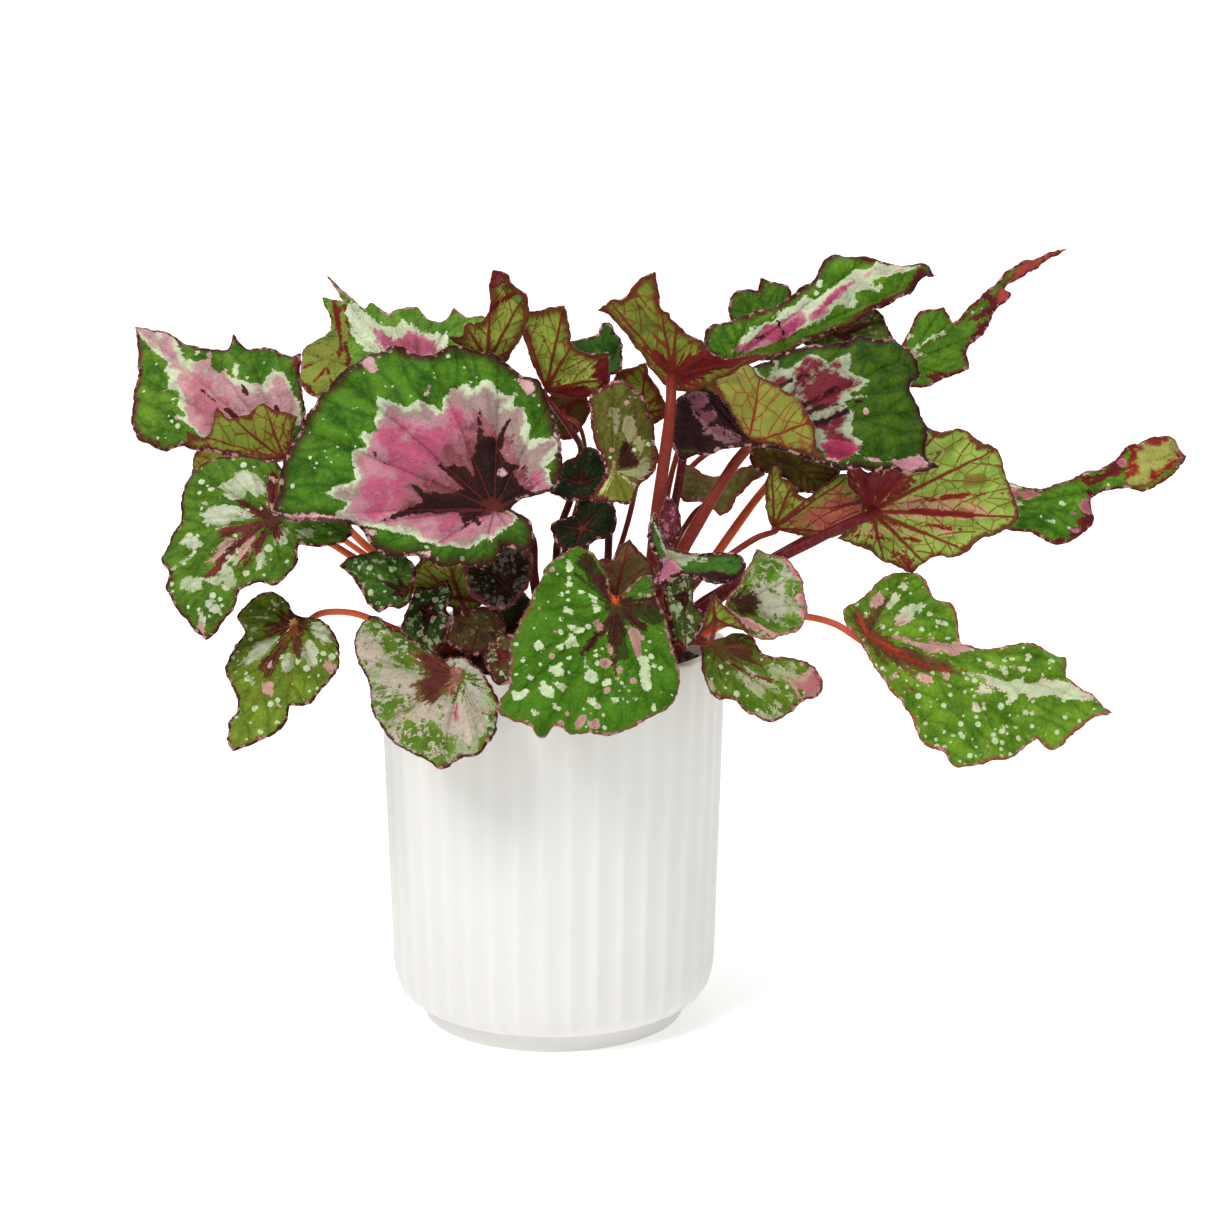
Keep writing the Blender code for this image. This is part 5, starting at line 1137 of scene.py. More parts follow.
def behind(x, z, origin, up):  # the plane's point that is seen at (x, z) of the upright plane
    ray = np.array([x, 0, z]) - drawnFrom
    return drawnFrom + ray * ((origin - drawnFrom) @ up) / (ray @ up)


def atDepth(x, z, depth):
    return behind(x, z, np.array([0, depth, 0]), np.array([0, 1, 0]))


def unit(vector):
    return vector / np.linalg.norm(vector)


def seated(leaf):  # junction, the two directions along the plane and the upper side's direction
    up = unit(leaf["face"] * np.array([leaf["tilt"][0], -1, leaf["tilt"][1]]))
    across = unit(np.array([1, 0, 0]) - up[0] * up)
    return atDepth(*leaf["seat"]), across, np.cross(up, across), up


def flat(drawn, plane):  # drawn points as places on the blade's plane
    origin, across, along, up = plane
    found = np.array([behind(x, z, origin, up) for x, z in drawn]) - origin
    return np.stack([found @ across, found @ along], 1)


def inside(spots, loop):
    x, y = spots[:, :1], spots[:, 1:]
    a, b = loop, np.roll(loop, -1, 0)
    rise = np.where(a[:, 1] == b[:, 1], 1e-9, b[:, 1] - a[:, 1])
    crosses = (a[:, 1] > y) != (b[:, 1] > y)
    return (crosses & (x < a[:, 0] + (y - a[:, 1]) * (b[:, 0] - a[:, 0]) / rise)).sum(1) % 2 == 1


def nearest(spots, starts, ends):  # distance to the nearest line, which line, and how far along it
    if not len(starts):
        return np.full(len(spots), 99.0), np.zeros(len(spots), int), np.zeros(len(spots))
    run = ends - starts
    far = np.full(len(spots), 1e9)
    line = np.zeros(len(spots), int)
    along = np.zeros(len(spots))
    for k in range(len(starts)):
        off = spots - starts[k]
        t = np.clip(off @ run[k] / (run[k] @ run[k] + 1e-12), 0, 1)
        away = np.hypot(off[:, 0] - t * run[k, 0], off[:, 1] - t * run[k, 1])
        closer = away < far
        far[closer], line[closer], along[closer] = away[closer], k, t[closer]
    return far, line, along


def outlined(edge, seed):  # smooth toothed loop through the edge's points, and each spot's place in the row
    count = len(edge)
    ahead = np.roll(edge, -1, 0) - edge
    chord = np.linalg.norm(ahead, axis=1)
    course = ahead / chord[:, None]
    before, beforeChord = np.roll(course, 1, 0), np.roll(chord, 1)
    share = (beforeChord / (chord + beforeChord))[:, None]
    slope = course * share + before * (1 - share)
    turns = np.degrees(np.arccos(np.clip((course * before).sum(1), -1, 1)))
    corner = turns > leafForm["sharp"]
    loop, row = [], []
    for k in range(count):
        n = (k + 1) % count
        steps = max(2, round(chord[k] / leafForm["spacing"]))
        start = course[k] if corner[k] else slope[k]
        stop = course[k] if corner[n] else slope[n]
        for t in np.arange(steps) / steps:
            loop.append((2 * t**3 - 3 * t**2 + 1) * edge[k] + (t**3 - 2 * t**2 + t) * chord[k] * start
                + (3 * t**2 - 2 * t**3) * edge[n] + (t**3 - t**2) * chord[k] * stop)
            row.append(k + t)
    loop = np.array(loop)
    step = np.linalg.norm(np.roll(loop, -1, 0) - loop, axis=1)
    length = np.cumsum(step)
    side = np.roll(loop, -1, 0) - np.roll(loop, 1, 0)
    out = np.stack([side[:, 1], -side[:, 0]], 1) / (np.linalg.norm(side, axis=1)[:, None] + 1e-9)
    if np.cross(loop, np.roll(loop, -1, 0)).sum() < 0:
        out = -out
    tooth = (length / leafForm["tooth"] + seed * leafForm["toothShift"]) % 1 - 0.5
    least, more, wave = leafForm["swell"]
    swell = least + more * np.sin(length / wave + seed)
    clear = np.clip(np.linalg.norm(loop, axis=1) / leafForm["toothFrom"] - 0.3, 0, 1)
    frill = np.sin(length / 1.15 + seed) * np.sin(length / 2.7) + 0.8 * np.sin(length / 2.1 + 2 * seed)
    moved = leafForm["teeth"] * tooth * swell + leafForm["frill"] * frill
    return loop + out * (moved * clear)[:, None], np.array(row)


def sideVeins(ribs, loop):  # curved side veins that leave each rib by turns to the left and right
    form = leafForm
    starts, ends = [], []
    for own, end in enumerate(ribs):
        length = np.linalg.norm(end)
        for k, t in enumerate(np.arange(form["sideStart"], form["sideEnd"], form["sideStep"])):
            hand = 1 if (k + own) % 2 else -1
            angle = form["sideAngle"] - form["sideLean"] * t
            spot = end * t
            path = [spot]
            for _ in range(form["sideParts"]):
                course = math.radians(angle) * hand + math.atan2(end[1], end[0])
                spot = spot + form["sidePace"] * np.array([math.cos(course), math.sin(course)])
                angle += form["sideTurn"]
                path.append(spot)
            path = np.array(path)
            rim, _, _ = nearest(path, loop, np.roll(loop, -1, 0))
            gap, near, _ = nearest(path, np.zeros_like(ribs), ribs)
            apart, _, _ = nearest(path, np.zeros((1, 2)), end[None])
            crossed = (near != own) & (apart > gap * 1.3)
            stop = ~inside(path, loop) | (rim < form["rimClear"]) | crossed
            stop[0] = False
            last = stop.argmax() if stop.any() else len(path)
            if last > 2 and length * (1 - t) > form["sideShortest"]:
                starts.append(path[:last - 1])
                ends.append(path[1:last])
    if not starts:
        return np.zeros((0, 2)), np.zeros((0, 2))
    return np.vstack(starts), np.vstack(ends)


def filled(loop, starts, ends):  # triangles inside the loop, with points along the veins
    cell = leafForm["cell"]
    wanted = []
    for a, b in zip(starts, ends):
        parts = max(1, round(np.linalg.norm(b - a) / cell))
        wanted.append(a + (b - a) * np.arange(parts + 1)[:, None] / parts)
    low, high = loop.min(0), loop.max(0)
    for k, y in enumerate(np.arange(low[1], high[1], cell * math.sqrt(0.75))):
        x = np.arange(low[0] + cell / 2 * (k % 2), high[0], cell)
        wanted.append(np.stack([x, np.full(len(x), y)], 1))
    wanted = np.vstack(wanted)
    rim, _, _ = nearest(wanted, loop, np.roll(loop, -1, 0))
    kept, taken = [], {}
    room = leafForm["room"] * cell
    for spot in wanted[inside(wanted, loop) & (rim > leafForm["rimRoom"] * cell)]:
        i, j = int(spot[0] // room), int(spot[1] // room)
        close = [q for di in (-1, 0, 1) for dj in (-1, 0, 1) for q in taken.get((i + di, j + dj), ())]
        if all(math.hypot(spot[0] - q[0], spot[1] - q[1]) > room for q in close):
            taken.setdefault((i, j), []).append(spot)
            kept.append(spot)
    flatSpots = [Vector(p) for p in [*loop, *kept]]
    found = delaunay_2d_cdt(flatSpots, [], [list(range(len(loop)))], 1, 1e-5)
    return np.array([tuple(p) for p in found[0]]), [list(f) for f in found[2]]


def keep(obj, name, values):  # three numbers at each vertex for the shader
    kept = obj.data.attributes.new(name, "FLOAT_VECTOR", "POINT")
    kept.data.foreach_set("vector", np.asarray(values, float).ravel())


def marked(spots, shapes, plane):  # mm inside the nearest shape, or below 0 outside them all
    found = np.full(len(spots), leafForm["unmarked"])
    for shape in shapes:
        if isinstance(shape, list):
            patch = flat(shape, plane)
            away, _, _ = nearest(spots, patch, np.roll(patch, -1, 0))
            away = np.where(inside(spots, patch), away, -away)
        else:
            line = flat([shape[:2], shape[-3:-1]], plane)
            away, _, _ = nearest(spots, line[:1], line[1:])
            away = shape[-1] - away
        found = np.maximum(found, away)
    return found


def sheet(name, leaf, plane, loop, row, edge, ribs, looks, coats, seed, flap=None):
    origin, across, along, up = plane
    starts, ends = sideVeins(ribs, loop)
    spots, faces = filled(loop, np.vstack([np.zeros_like(ribs), starts]), np.vstack([ribs, ends]))
    reach = np.linalg.norm(spots, axis=1)
    rim, line, t = nearest(spots, loop, np.roll(loop, -1, 0))
    rib, _, _ = nearest(spots, np.zeros_like(ribs), ribs)
    side, _, _ = nearest(spots, starts, ends)
    form = leafForm
    if flap:
        away, line, t = nearest(spots, edge, np.roll(edge, -1, 0))
        at = line + t
    else:
        away = rim
        at = row[line] + t * ((np.roll(row, -1)[line] - row[line]) % 1)
    part = reach / (reach + away + 1e-6)
    height = 2 * form["dome"] * reach * (1 - part)
    height -= 4 * form["fold"] * reach * (1 - part) * np.exp(-((rib / form["ribWidth"]) ** 2)) * (not flap)
    height += form["wave"] * reach * part**2 * np.cos(math.pi * at) * np.exp(-away / form["waveReach"])
    calm = np.clip(rim / form["rimCalm"], 0, 1) * np.clip(reach / form["middleCalm"], 0, 1)
    height -= form["groove"] * np.exp(-((rib / form["grooveWidth"]) ** 2)) * calm
    hollow = np.minimum(rib, side * form["sideShare"])
    height += form["puff"] * (1 - np.exp(-((hollow / form["puffWidth"]) ** 2))) * calm
    swaying = ripple(spots, form["swayLength"], seed) * np.clip(reach / form["swayFrom"], 0, 1)
    height += form["sway"] * swaying
    if flap:
        hinge = flat(flap["hinge"], plane)
        crease = unit(hinge[1] - hinge[0])
        rise = np.abs(np.cross(spots - hinge[0], crease)) / form["flapRise"]
        height += flap["lift"] * (1 - np.exp(-(rise**2))) - form["flapSink"]
    body = meshed(name, origin + spots @ np.array([across, along]) + height[:, None] * up, faces, looks)
    keep(body, "veins", np.stack([rib, side, rim], 1))
    own = np.full(len(spots), form["placeShift"] * seed)
    keep(body, "place", np.column_stack([spots / form["placeUnit"], own]))
    painted = [marked(spots, coat["shapes"], plane) for coat in coats]
    painted += [np.full(len(spots), form["unmarked"])] * (form["layers"] - len(painted))
    keep(body, "marks", np.stack(painted[:3], 1))
    keep(body, "furtherMarks", np.stack(painted[3:], 1))
    pick(body)
    bpy.ops.object.mode_set(mode="EDIT")
    bpy.ops.mesh.select_all(action="SELECT")
    bpy.ops.mesh.normals_make_consistent(inside=False)
    bpy.ops.object.mode_set(mode="OBJECT")
    body.data.update()
    facing = sum(np.array(f.normal) @ up for f in body.data.polygons)
    if facing < 0:
        body.data.flip_normals()
    solid = body.modifiers.new("Thickness", "SOLIDIFY")
    solid.thickness = form["thick"] * mm
    solid.offset = 1 if flap else -1
    solid.material_offset = 1
    bpy.ops.object.modifier_apply(modifier="Thickness")
    if not flap:  # veins stand out on the underside
        places = points(body)
        lift = np.exp(-((rib / form["ridgeWidth"]) ** 2))
        lift += form["sideRidge"] * np.exp(-((side / form["sideRidgeWidth"]) ** 2))
        places[len(spots):2 * len(spots)] -= (form["ridge"] * lift * calm)[:, None] * up
        setPoints(body, places)
    body.data.shade_smooth()
    return body


def spikes(name, roots, courses, lengths, thick, look):  # hairs as closed three-sided spikes
    count = len(roots)
    courses = courses / np.linalg.norm(courses, axis=1, keepdims=True)
    helper = np.where(np.abs(courses[:, 2:]) > 0.9, [[1.0, 0, 0]], [[0, 0, 1.0]])
    first = np.cross(courses, helper)
    first /= np.linalg.norm(first, axis=1, keepdims=True)
    second = np.cross(courses, first)
    ring = [math.cos(a) * first + math.sin(a) * second for a in (0, 2.094, 4.189)]  # thirds of a turn
    tips = roots + courses * lengths[:, None]
    sunk = leafForm["hairRoot"] * courses
    corners = np.stack([*(roots + thick * r - sunk for r in ring), tips], 1)
    faces = np.array([[0, 2, 1], [0, 1, 3], [1, 2, 3], [2, 0, 3]])
    faces = (faces[None] + 4 * np.arange(count)[:, None, None]).reshape(-1, 3)
    return meshed(name, corners.reshape(-1, 3), faces.tolist(), [look])


def fringe(name, loop, plane, body, draw, look):  # hairs along the edge, at the blade's own height
    origin, across, along, up = plane
    step = np.linalg.norm(np.roll(loop, -1, 0) - loop, axis=1)
    far = np.concatenate([[0], np.cumsum(step)])
    at = np.arange(0, far[-1], leafForm["hairGap"])
    stray = draw.uniform(-leafForm["hairStray"], leafForm["hairStray"], len(at))
    at = np.clip(at + stray, 0, far[-1] - 0.01)
    k = np.searchsorted(far, at, side="right") - 1
    share = (at - far[k]) / step[k]
    rimPoints = points(body)[:len(loop)]
    after = np.roll(np.arange(len(loop)), -1)
    roots = rimPoints[k] * (1 - share[:, None]) + rimPoints[after[k]] * share[:, None]
    course = loop[after[k]] - loop[k]
    out = np.stack([course[:, 1], -course[:, 0]], 1)
    if np.cross(loop, np.roll(loop, -1, 0)).sum() < 0:
        out = -out
    out /= np.linalg.norm(out, axis=1, keepdims=True) + 1e-9
    clear = np.linalg.norm(loop[k], axis=1) > leafForm["hairFrom"]
    spread = draw.normal(0, leafForm["hairSpread"], (len(k), 3))
    courses = out @ np.array([across, along]) + spread + leafForm["hairLift"] * up
    roots = roots - leafForm["hairSink"] * up
    return spikes(name, roots[clear], courses[clear], draw.uniform(*leafForm["hair"], clear.sum()),
        leafForm["hairThick"], look)


# Blade colours: mottled green with soft veins and painted shade along the sunken veins, spots, painted
# layers, a dark star and a hairy rim
leafLook = dict(
    outer=tone(86, 128, 30), deep=tone(46, 88, 12), cloud=0.5, vein=tone(34, 62, 10), veinShare=0.26,
    line=tone(84, 46, 22), lineWidth=0.45, lineShare=0.55, star=None, starWidth=3, starEnd=0.6,
    spot=mint, spots=0, spotSize=0.4, spotFrom=0.4, blushShare=0.15, mottle=None, mottleShare=0.5,
    rim=tone(72, 18, 18), rimWidth=1.0, rimShade=3, bits=tone(178, 126, 124), roughness=0.5, net=0.22,
    back=tone(146, 162, 64), backDeep=tone(112, 134, 44), backLine=tone(104, 26, 20), flush=tone(92, 16, 18),
    flushEnd=0.15, flushRim=1.5, flushRibs=0.7, backPainted=False,
)

# What all blades share: a noise is its scale, detail and roughness, a pair is where a mask starts and ends
leafNoise = dict(
    broad=(1.0, 4, 0.6), rough=(4.2, 3, 0.6), fine=(13, 3, 0.65), streak=(1, 4, 0.62), streakTurns=6.5,
    streakShift=0.035, raggedStreak=5.5, raggedRough=3, raggedFine=1.6, depthBroad=26, depthStreak=16,
    depthRough=6, depthFine=4, holes=(2.1, 5, 0.66), specular=0.1, relief=0.42, backRelief=0.34,
    backRoughness=0.55, netScale=3.4, netWidth=0.1, backNetScale=1.35, pebbleScale=11,
    leafy=(0.25, 0.8), sunk=(0.2, 3.2), sunkShadeShare=0.3, vein=(0.2, 0.9), mottle=(2.6, 5, 0.68),
    mottleLimit=0.72, mottleSoft=0.01, mottleGap=(0.2, 0.6), starSoft=0.8, starFade=0.15,
    spotWarp=(6, 2), spotShift=0.09, spotEdge=(0.1, 0.16), spotRim=(0.5, 1.0), rimShadeShare=0.9,
    rimShare=0.92, bits=(3.1, 4), bitsLimit=(0.54, 0.58), bitsRim=(0.3, 1.5),
    backCloud=(-0.14, 0.18), flushShare=0.92, flushAlong=(0.6, 3.6), flushRimShare=0.9,
    backNet=(0.012, 0.05), backNetShare=0.62, backSide=(0.12, 0.5), backSideShare=0.85,
    backRib=(0.1, 0.6), backRibShare=0.95, coverEdge=(-0.12, 0.3), holeSoft=0.012,
)


class LeafPaint(Paint):  # the measures and noises that both sides of a blade are painted by
    def __init__(self, name, roughness):
        super().__init__(name, roughness, Specular_IOR_Level=leafNoise["specular"])
        form = leafNoise
        self.rib, self.side, self.rim = self.split(self.field("veins"))
        self.place = self.field("place")
        x, y, own = self.split(self.place)
        self.reach = (x * x + y * y).math("SQRT") * leafForm["placeUnit"]
        self.part = self.reach.math("DIVIDE", self.reach + self.rim + 0.01)
        self.broad = self.noise(self.place, *form["broad"]) - 0.5
        self.rough = self.noise(self.place, *form["rough"]) - 0.5
        self.fine = self.noise(self.place, *form["fine"]) - 0.5
        course = self.vector("NORMALIZE", self.node("CombineXYZ", None, {0: x, 1: y}))
        outward = self.node("CombineXYZ", None, {2: own + self.reach * form["streakShift"]})
        turned = self.shade(course, form["streakTurns"])
        self.streak = self.noise(self.vector("ADD", turned, outward), *form["streak"]) - 0.5

    def painted(self, colour, coats):  # the layers that marked() measured, one over the other
        values = [*self.split(self.field("marks")), *self.split(self.field("furtherMarks"))]
        form = leafNoise
        for coat, value in zip(coats, values):
            jagged = self.streak * form["raggedStreak"] + self.rough * form["raggedRough"]
            edge = value + (jagged + self.fine * form["raggedFine"]) * coat["ragged"]
            cloud = self.broad * form["depthBroad"] + self.streak * form["depthStreak"]
            cloud = cloud + self.rough * form["depthRough"] + self.fine * form["depthFine"]
            inward = value + cloud * (coat["depth"] / 5)
            deeper = self.step(inward, coat["depth"] * 0.1, coat["depth"])
            inner = self.mix(deeper, coat["edge"], coat["inner"])
            # brighter and darker along radial streaks: a streaky texture and painted sheen
            inner = self.shade(inner, 1 + self.streak * 1.1 + self.rough * 0.5 + self.fine * 0.5)
            cover = self.step(edge, *form["coverEdge"])
            if coat["holes"]:
                limit = 0.64 - 0.26 * coat["holes"]
                clouds = self.noise(self.place, *form["holes"])
                soft = form["holeSoft"]
                cover = cover * self.near(clouds, limit - soft, limit + soft)
            colour = self.mix(cover, colour, inner)
        return colour


def topLook(name, look, coats):
    paint = LeafPaint(name, look["roughness"])
    rib, side, rim, place, part = paint.rib, paint.side, paint.rim, paint.place, paint.part
    broad, rough, fine = paint.broad, paint.rough, paint.fine
    form = leafNoise
    hollow = rib.math("MINIMUM", side * leafForm["sideShare"])
    leafy = paint.step(broad * 1.5 + rough * 0.4 + look["cloud"], *form["leafy"])
    colour = paint.mix(leafy, look["outer"], look["deep"])
    # painted shade: darker toward the deep green along the sunken veins
    sunk = paint.near(hollow + rough, *form["sunk"]) * form["sunkShadeShare"]
    colour = paint.mix(sunk, colour, look["deep"])
    netting = paint.cells(place, form["netScale"], "DISTANCE_TO_EDGE")
    netted = paint.near(netting, 0.0, form["netWidth"]) * look["net"]
    colour = paint.shade(colour, 1.08 - netted + fine * 0.16)
    veined = paint.near(side + rough * 0.6, *form["vein"]) * look["veinShare"]
    colour = paint.mix(veined, colour, look["vein"])
    if look["mottle"]:
        cloud = paint.noise(place, *form["mottle"]) + rough * 0.25
        limit = form["mottleLimit"] - look["mottleShare"] * 0.4
        cloud = paint.step(cloud, limit - form["mottleSoft"], limit + form["mottleSoft"])
        cloud = cloud * paint.step(hollow + rough, *form["mottleGap"])
        colour = paint.mix(cloud, colour, paint.shade(look["mottle"], 1 + fine * 0.4 + broad * 0.3))
    if look["star"]:
        width = (1 - part * (1 / look["starEnd"])).math("MAXIMUM", 0) * look["starWidth"]
        star = paint.near(rib - width + rough * 2 + fine, 0, form["starSoft"])
        star = star * paint.near(part, look["starEnd"] - form["starFade"], look["starEnd"])
        colour = paint.mix(star, colour, look["star"])
    if look["spots"]:
        warp = paint.noise(place, *form["spotWarp"], out="Color")
        warped = paint.vector("ADD", place, paint.shade(warp, form["spotShift"]))
        blots = paint.cells(warped, 1 / look["spotSize"])
        dice, chance, hue = paint.split(Signal(paint, blots.socket.node.outputs["Color"]))
        blot = paint.near(blots + fine * 0.12 - dice * dice * 0.3, *form["spotEdge"])
        blot = blot * paint.near(chance, look["spots"] - 0.02, look["spots"])
        blot = blot * paint.step(part + broad * 0.5, look["spotFrom"], look["spotFrom"] + 0.06)
        blot = blot * paint.step(rim, *form["spotRim"])
        pinker = paint.near(hue, look["blushShare"], look["blushShare"] + 0.1)
        hue = paint.mix(pinker, look["spot"], blush)
        colour = paint.mix(blot, colour, paint.shade(hue, 1 + fine * 0.35))
    shaded = paint.near(rim + broad * 6 + rough * 4, look["rimShade"] * 0.15, look["rimShade"])
    colour = paint.mix(shaded * form["rimShadeShare"], colour, look["rim"])
    colour = paint.painted(colour, coats)
    width = look["lineWidth"]
    ribbed = paint.near(rib + fine * 0.5 + part * width * 0.5, width * 0.4, width * 1.3)
    colour = paint.mix(ribbed * (1.25 - part) * look["lineShare"], colour, look["line"])
    width = look["rimWidth"]
    edged = paint.near(rim + fine * 1.5 + rough * 2.4, width * 0.6, width * 1.3)
    colour = paint.mix(edged * form["rimShare"], colour, look["rim"])
    scattered = paint.step(paint.noise(place, *form["bits"]), *form["bitsLimit"])
    bits = paint.near(rim + rough * 4, *form["bitsRim"]) * scattered
    colour = paint.mix(bits, colour, paint.shade(look["bits"], 1 + fine * 0.6))
    pebbles = paint.cells(place, form["pebbleScale"]) * 0.5 + fine * 0.7
    grain = pebbles + paint.step(netting, 0, 0.3) * 0.5 + paint.step(side, 0, 0.9) * 0.5
    grain = grain + paint.step(rib, 0, 1.1)
    dull = rough * 0.2 + fine * 0.2 + look["roughness"]
    return paint.finish(colour, grain, form["relief"], dull)


def underLook(name, look, coats):
    form = leafNoise
    paint = LeafPaint(name, form["backRoughness"])
    rib, side, rim, part = paint.rib, paint.side, paint.rim, paint.part
    broad, rough, fine = paint.broad, paint.rough, paint.fine
    cloud = paint.step(broad + rough * 0.4, *form["backCloud"])
    colour = paint.mix(cloud, look["back"], look["backDeep"])
    if look["backPainted"]:
        colour = paint.painted(colour, coats)
    end = look["flushEnd"]
    flush = paint.near(part + broad * 0.5 + rough * 0.3, end * 0.4, end * 1.7) * form["flushShare"]
    along = paint.near(rib + part * 7 + rough * 3, *form["flushAlong"]) * look["flushRibs"]
    end = look["flushRim"]
    fringed = paint.near(rim + broad * 7 + rough * 4, end * 0.3, end * 1.6) * form["flushRimShare"]
    flush = flush.math("MAXIMUM", along).math("MAXIMUM", fringed)
    colour = paint.mix(flush, colour, look["flush"])
    netting = paint.cells(paint.place, form["backNetScale"], "DISTANCE_TO_EDGE")
    lines = paint.near(netting + rough * 0.05, *form["backNet"]) * form["backNetShare"]
    sides = paint.near(side + fine * 0.3, *form["backSide"]) * form["backSideShare"]
    middles = paint.near(rib + rough * 0.8 - (1 - part) * 0.8, *form["backRib"]) * form["backRibShare"]
    lines = lines.math("MAXIMUM", sides).math("MAXIMUM", middles)
    colour = paint.mix(lines, colour, look["backLine"])
    colour = paint.shade(colour, 1 + fine * 0.35 + rough * 0.2)
    grain = fine * 0.8 - paint.step(netting, 0, 0.2) * 0.5
    return paint.finish(colour, grain, form["backRelief"])


def hairLook(name, hue):
    paint = Paint(name, 0.6, Specular_IOR_Level=0.2)
    return paint.finish(paint.mix(paint.noise(paint.here(), 90), hue, [0.6 * v for v in hue]))


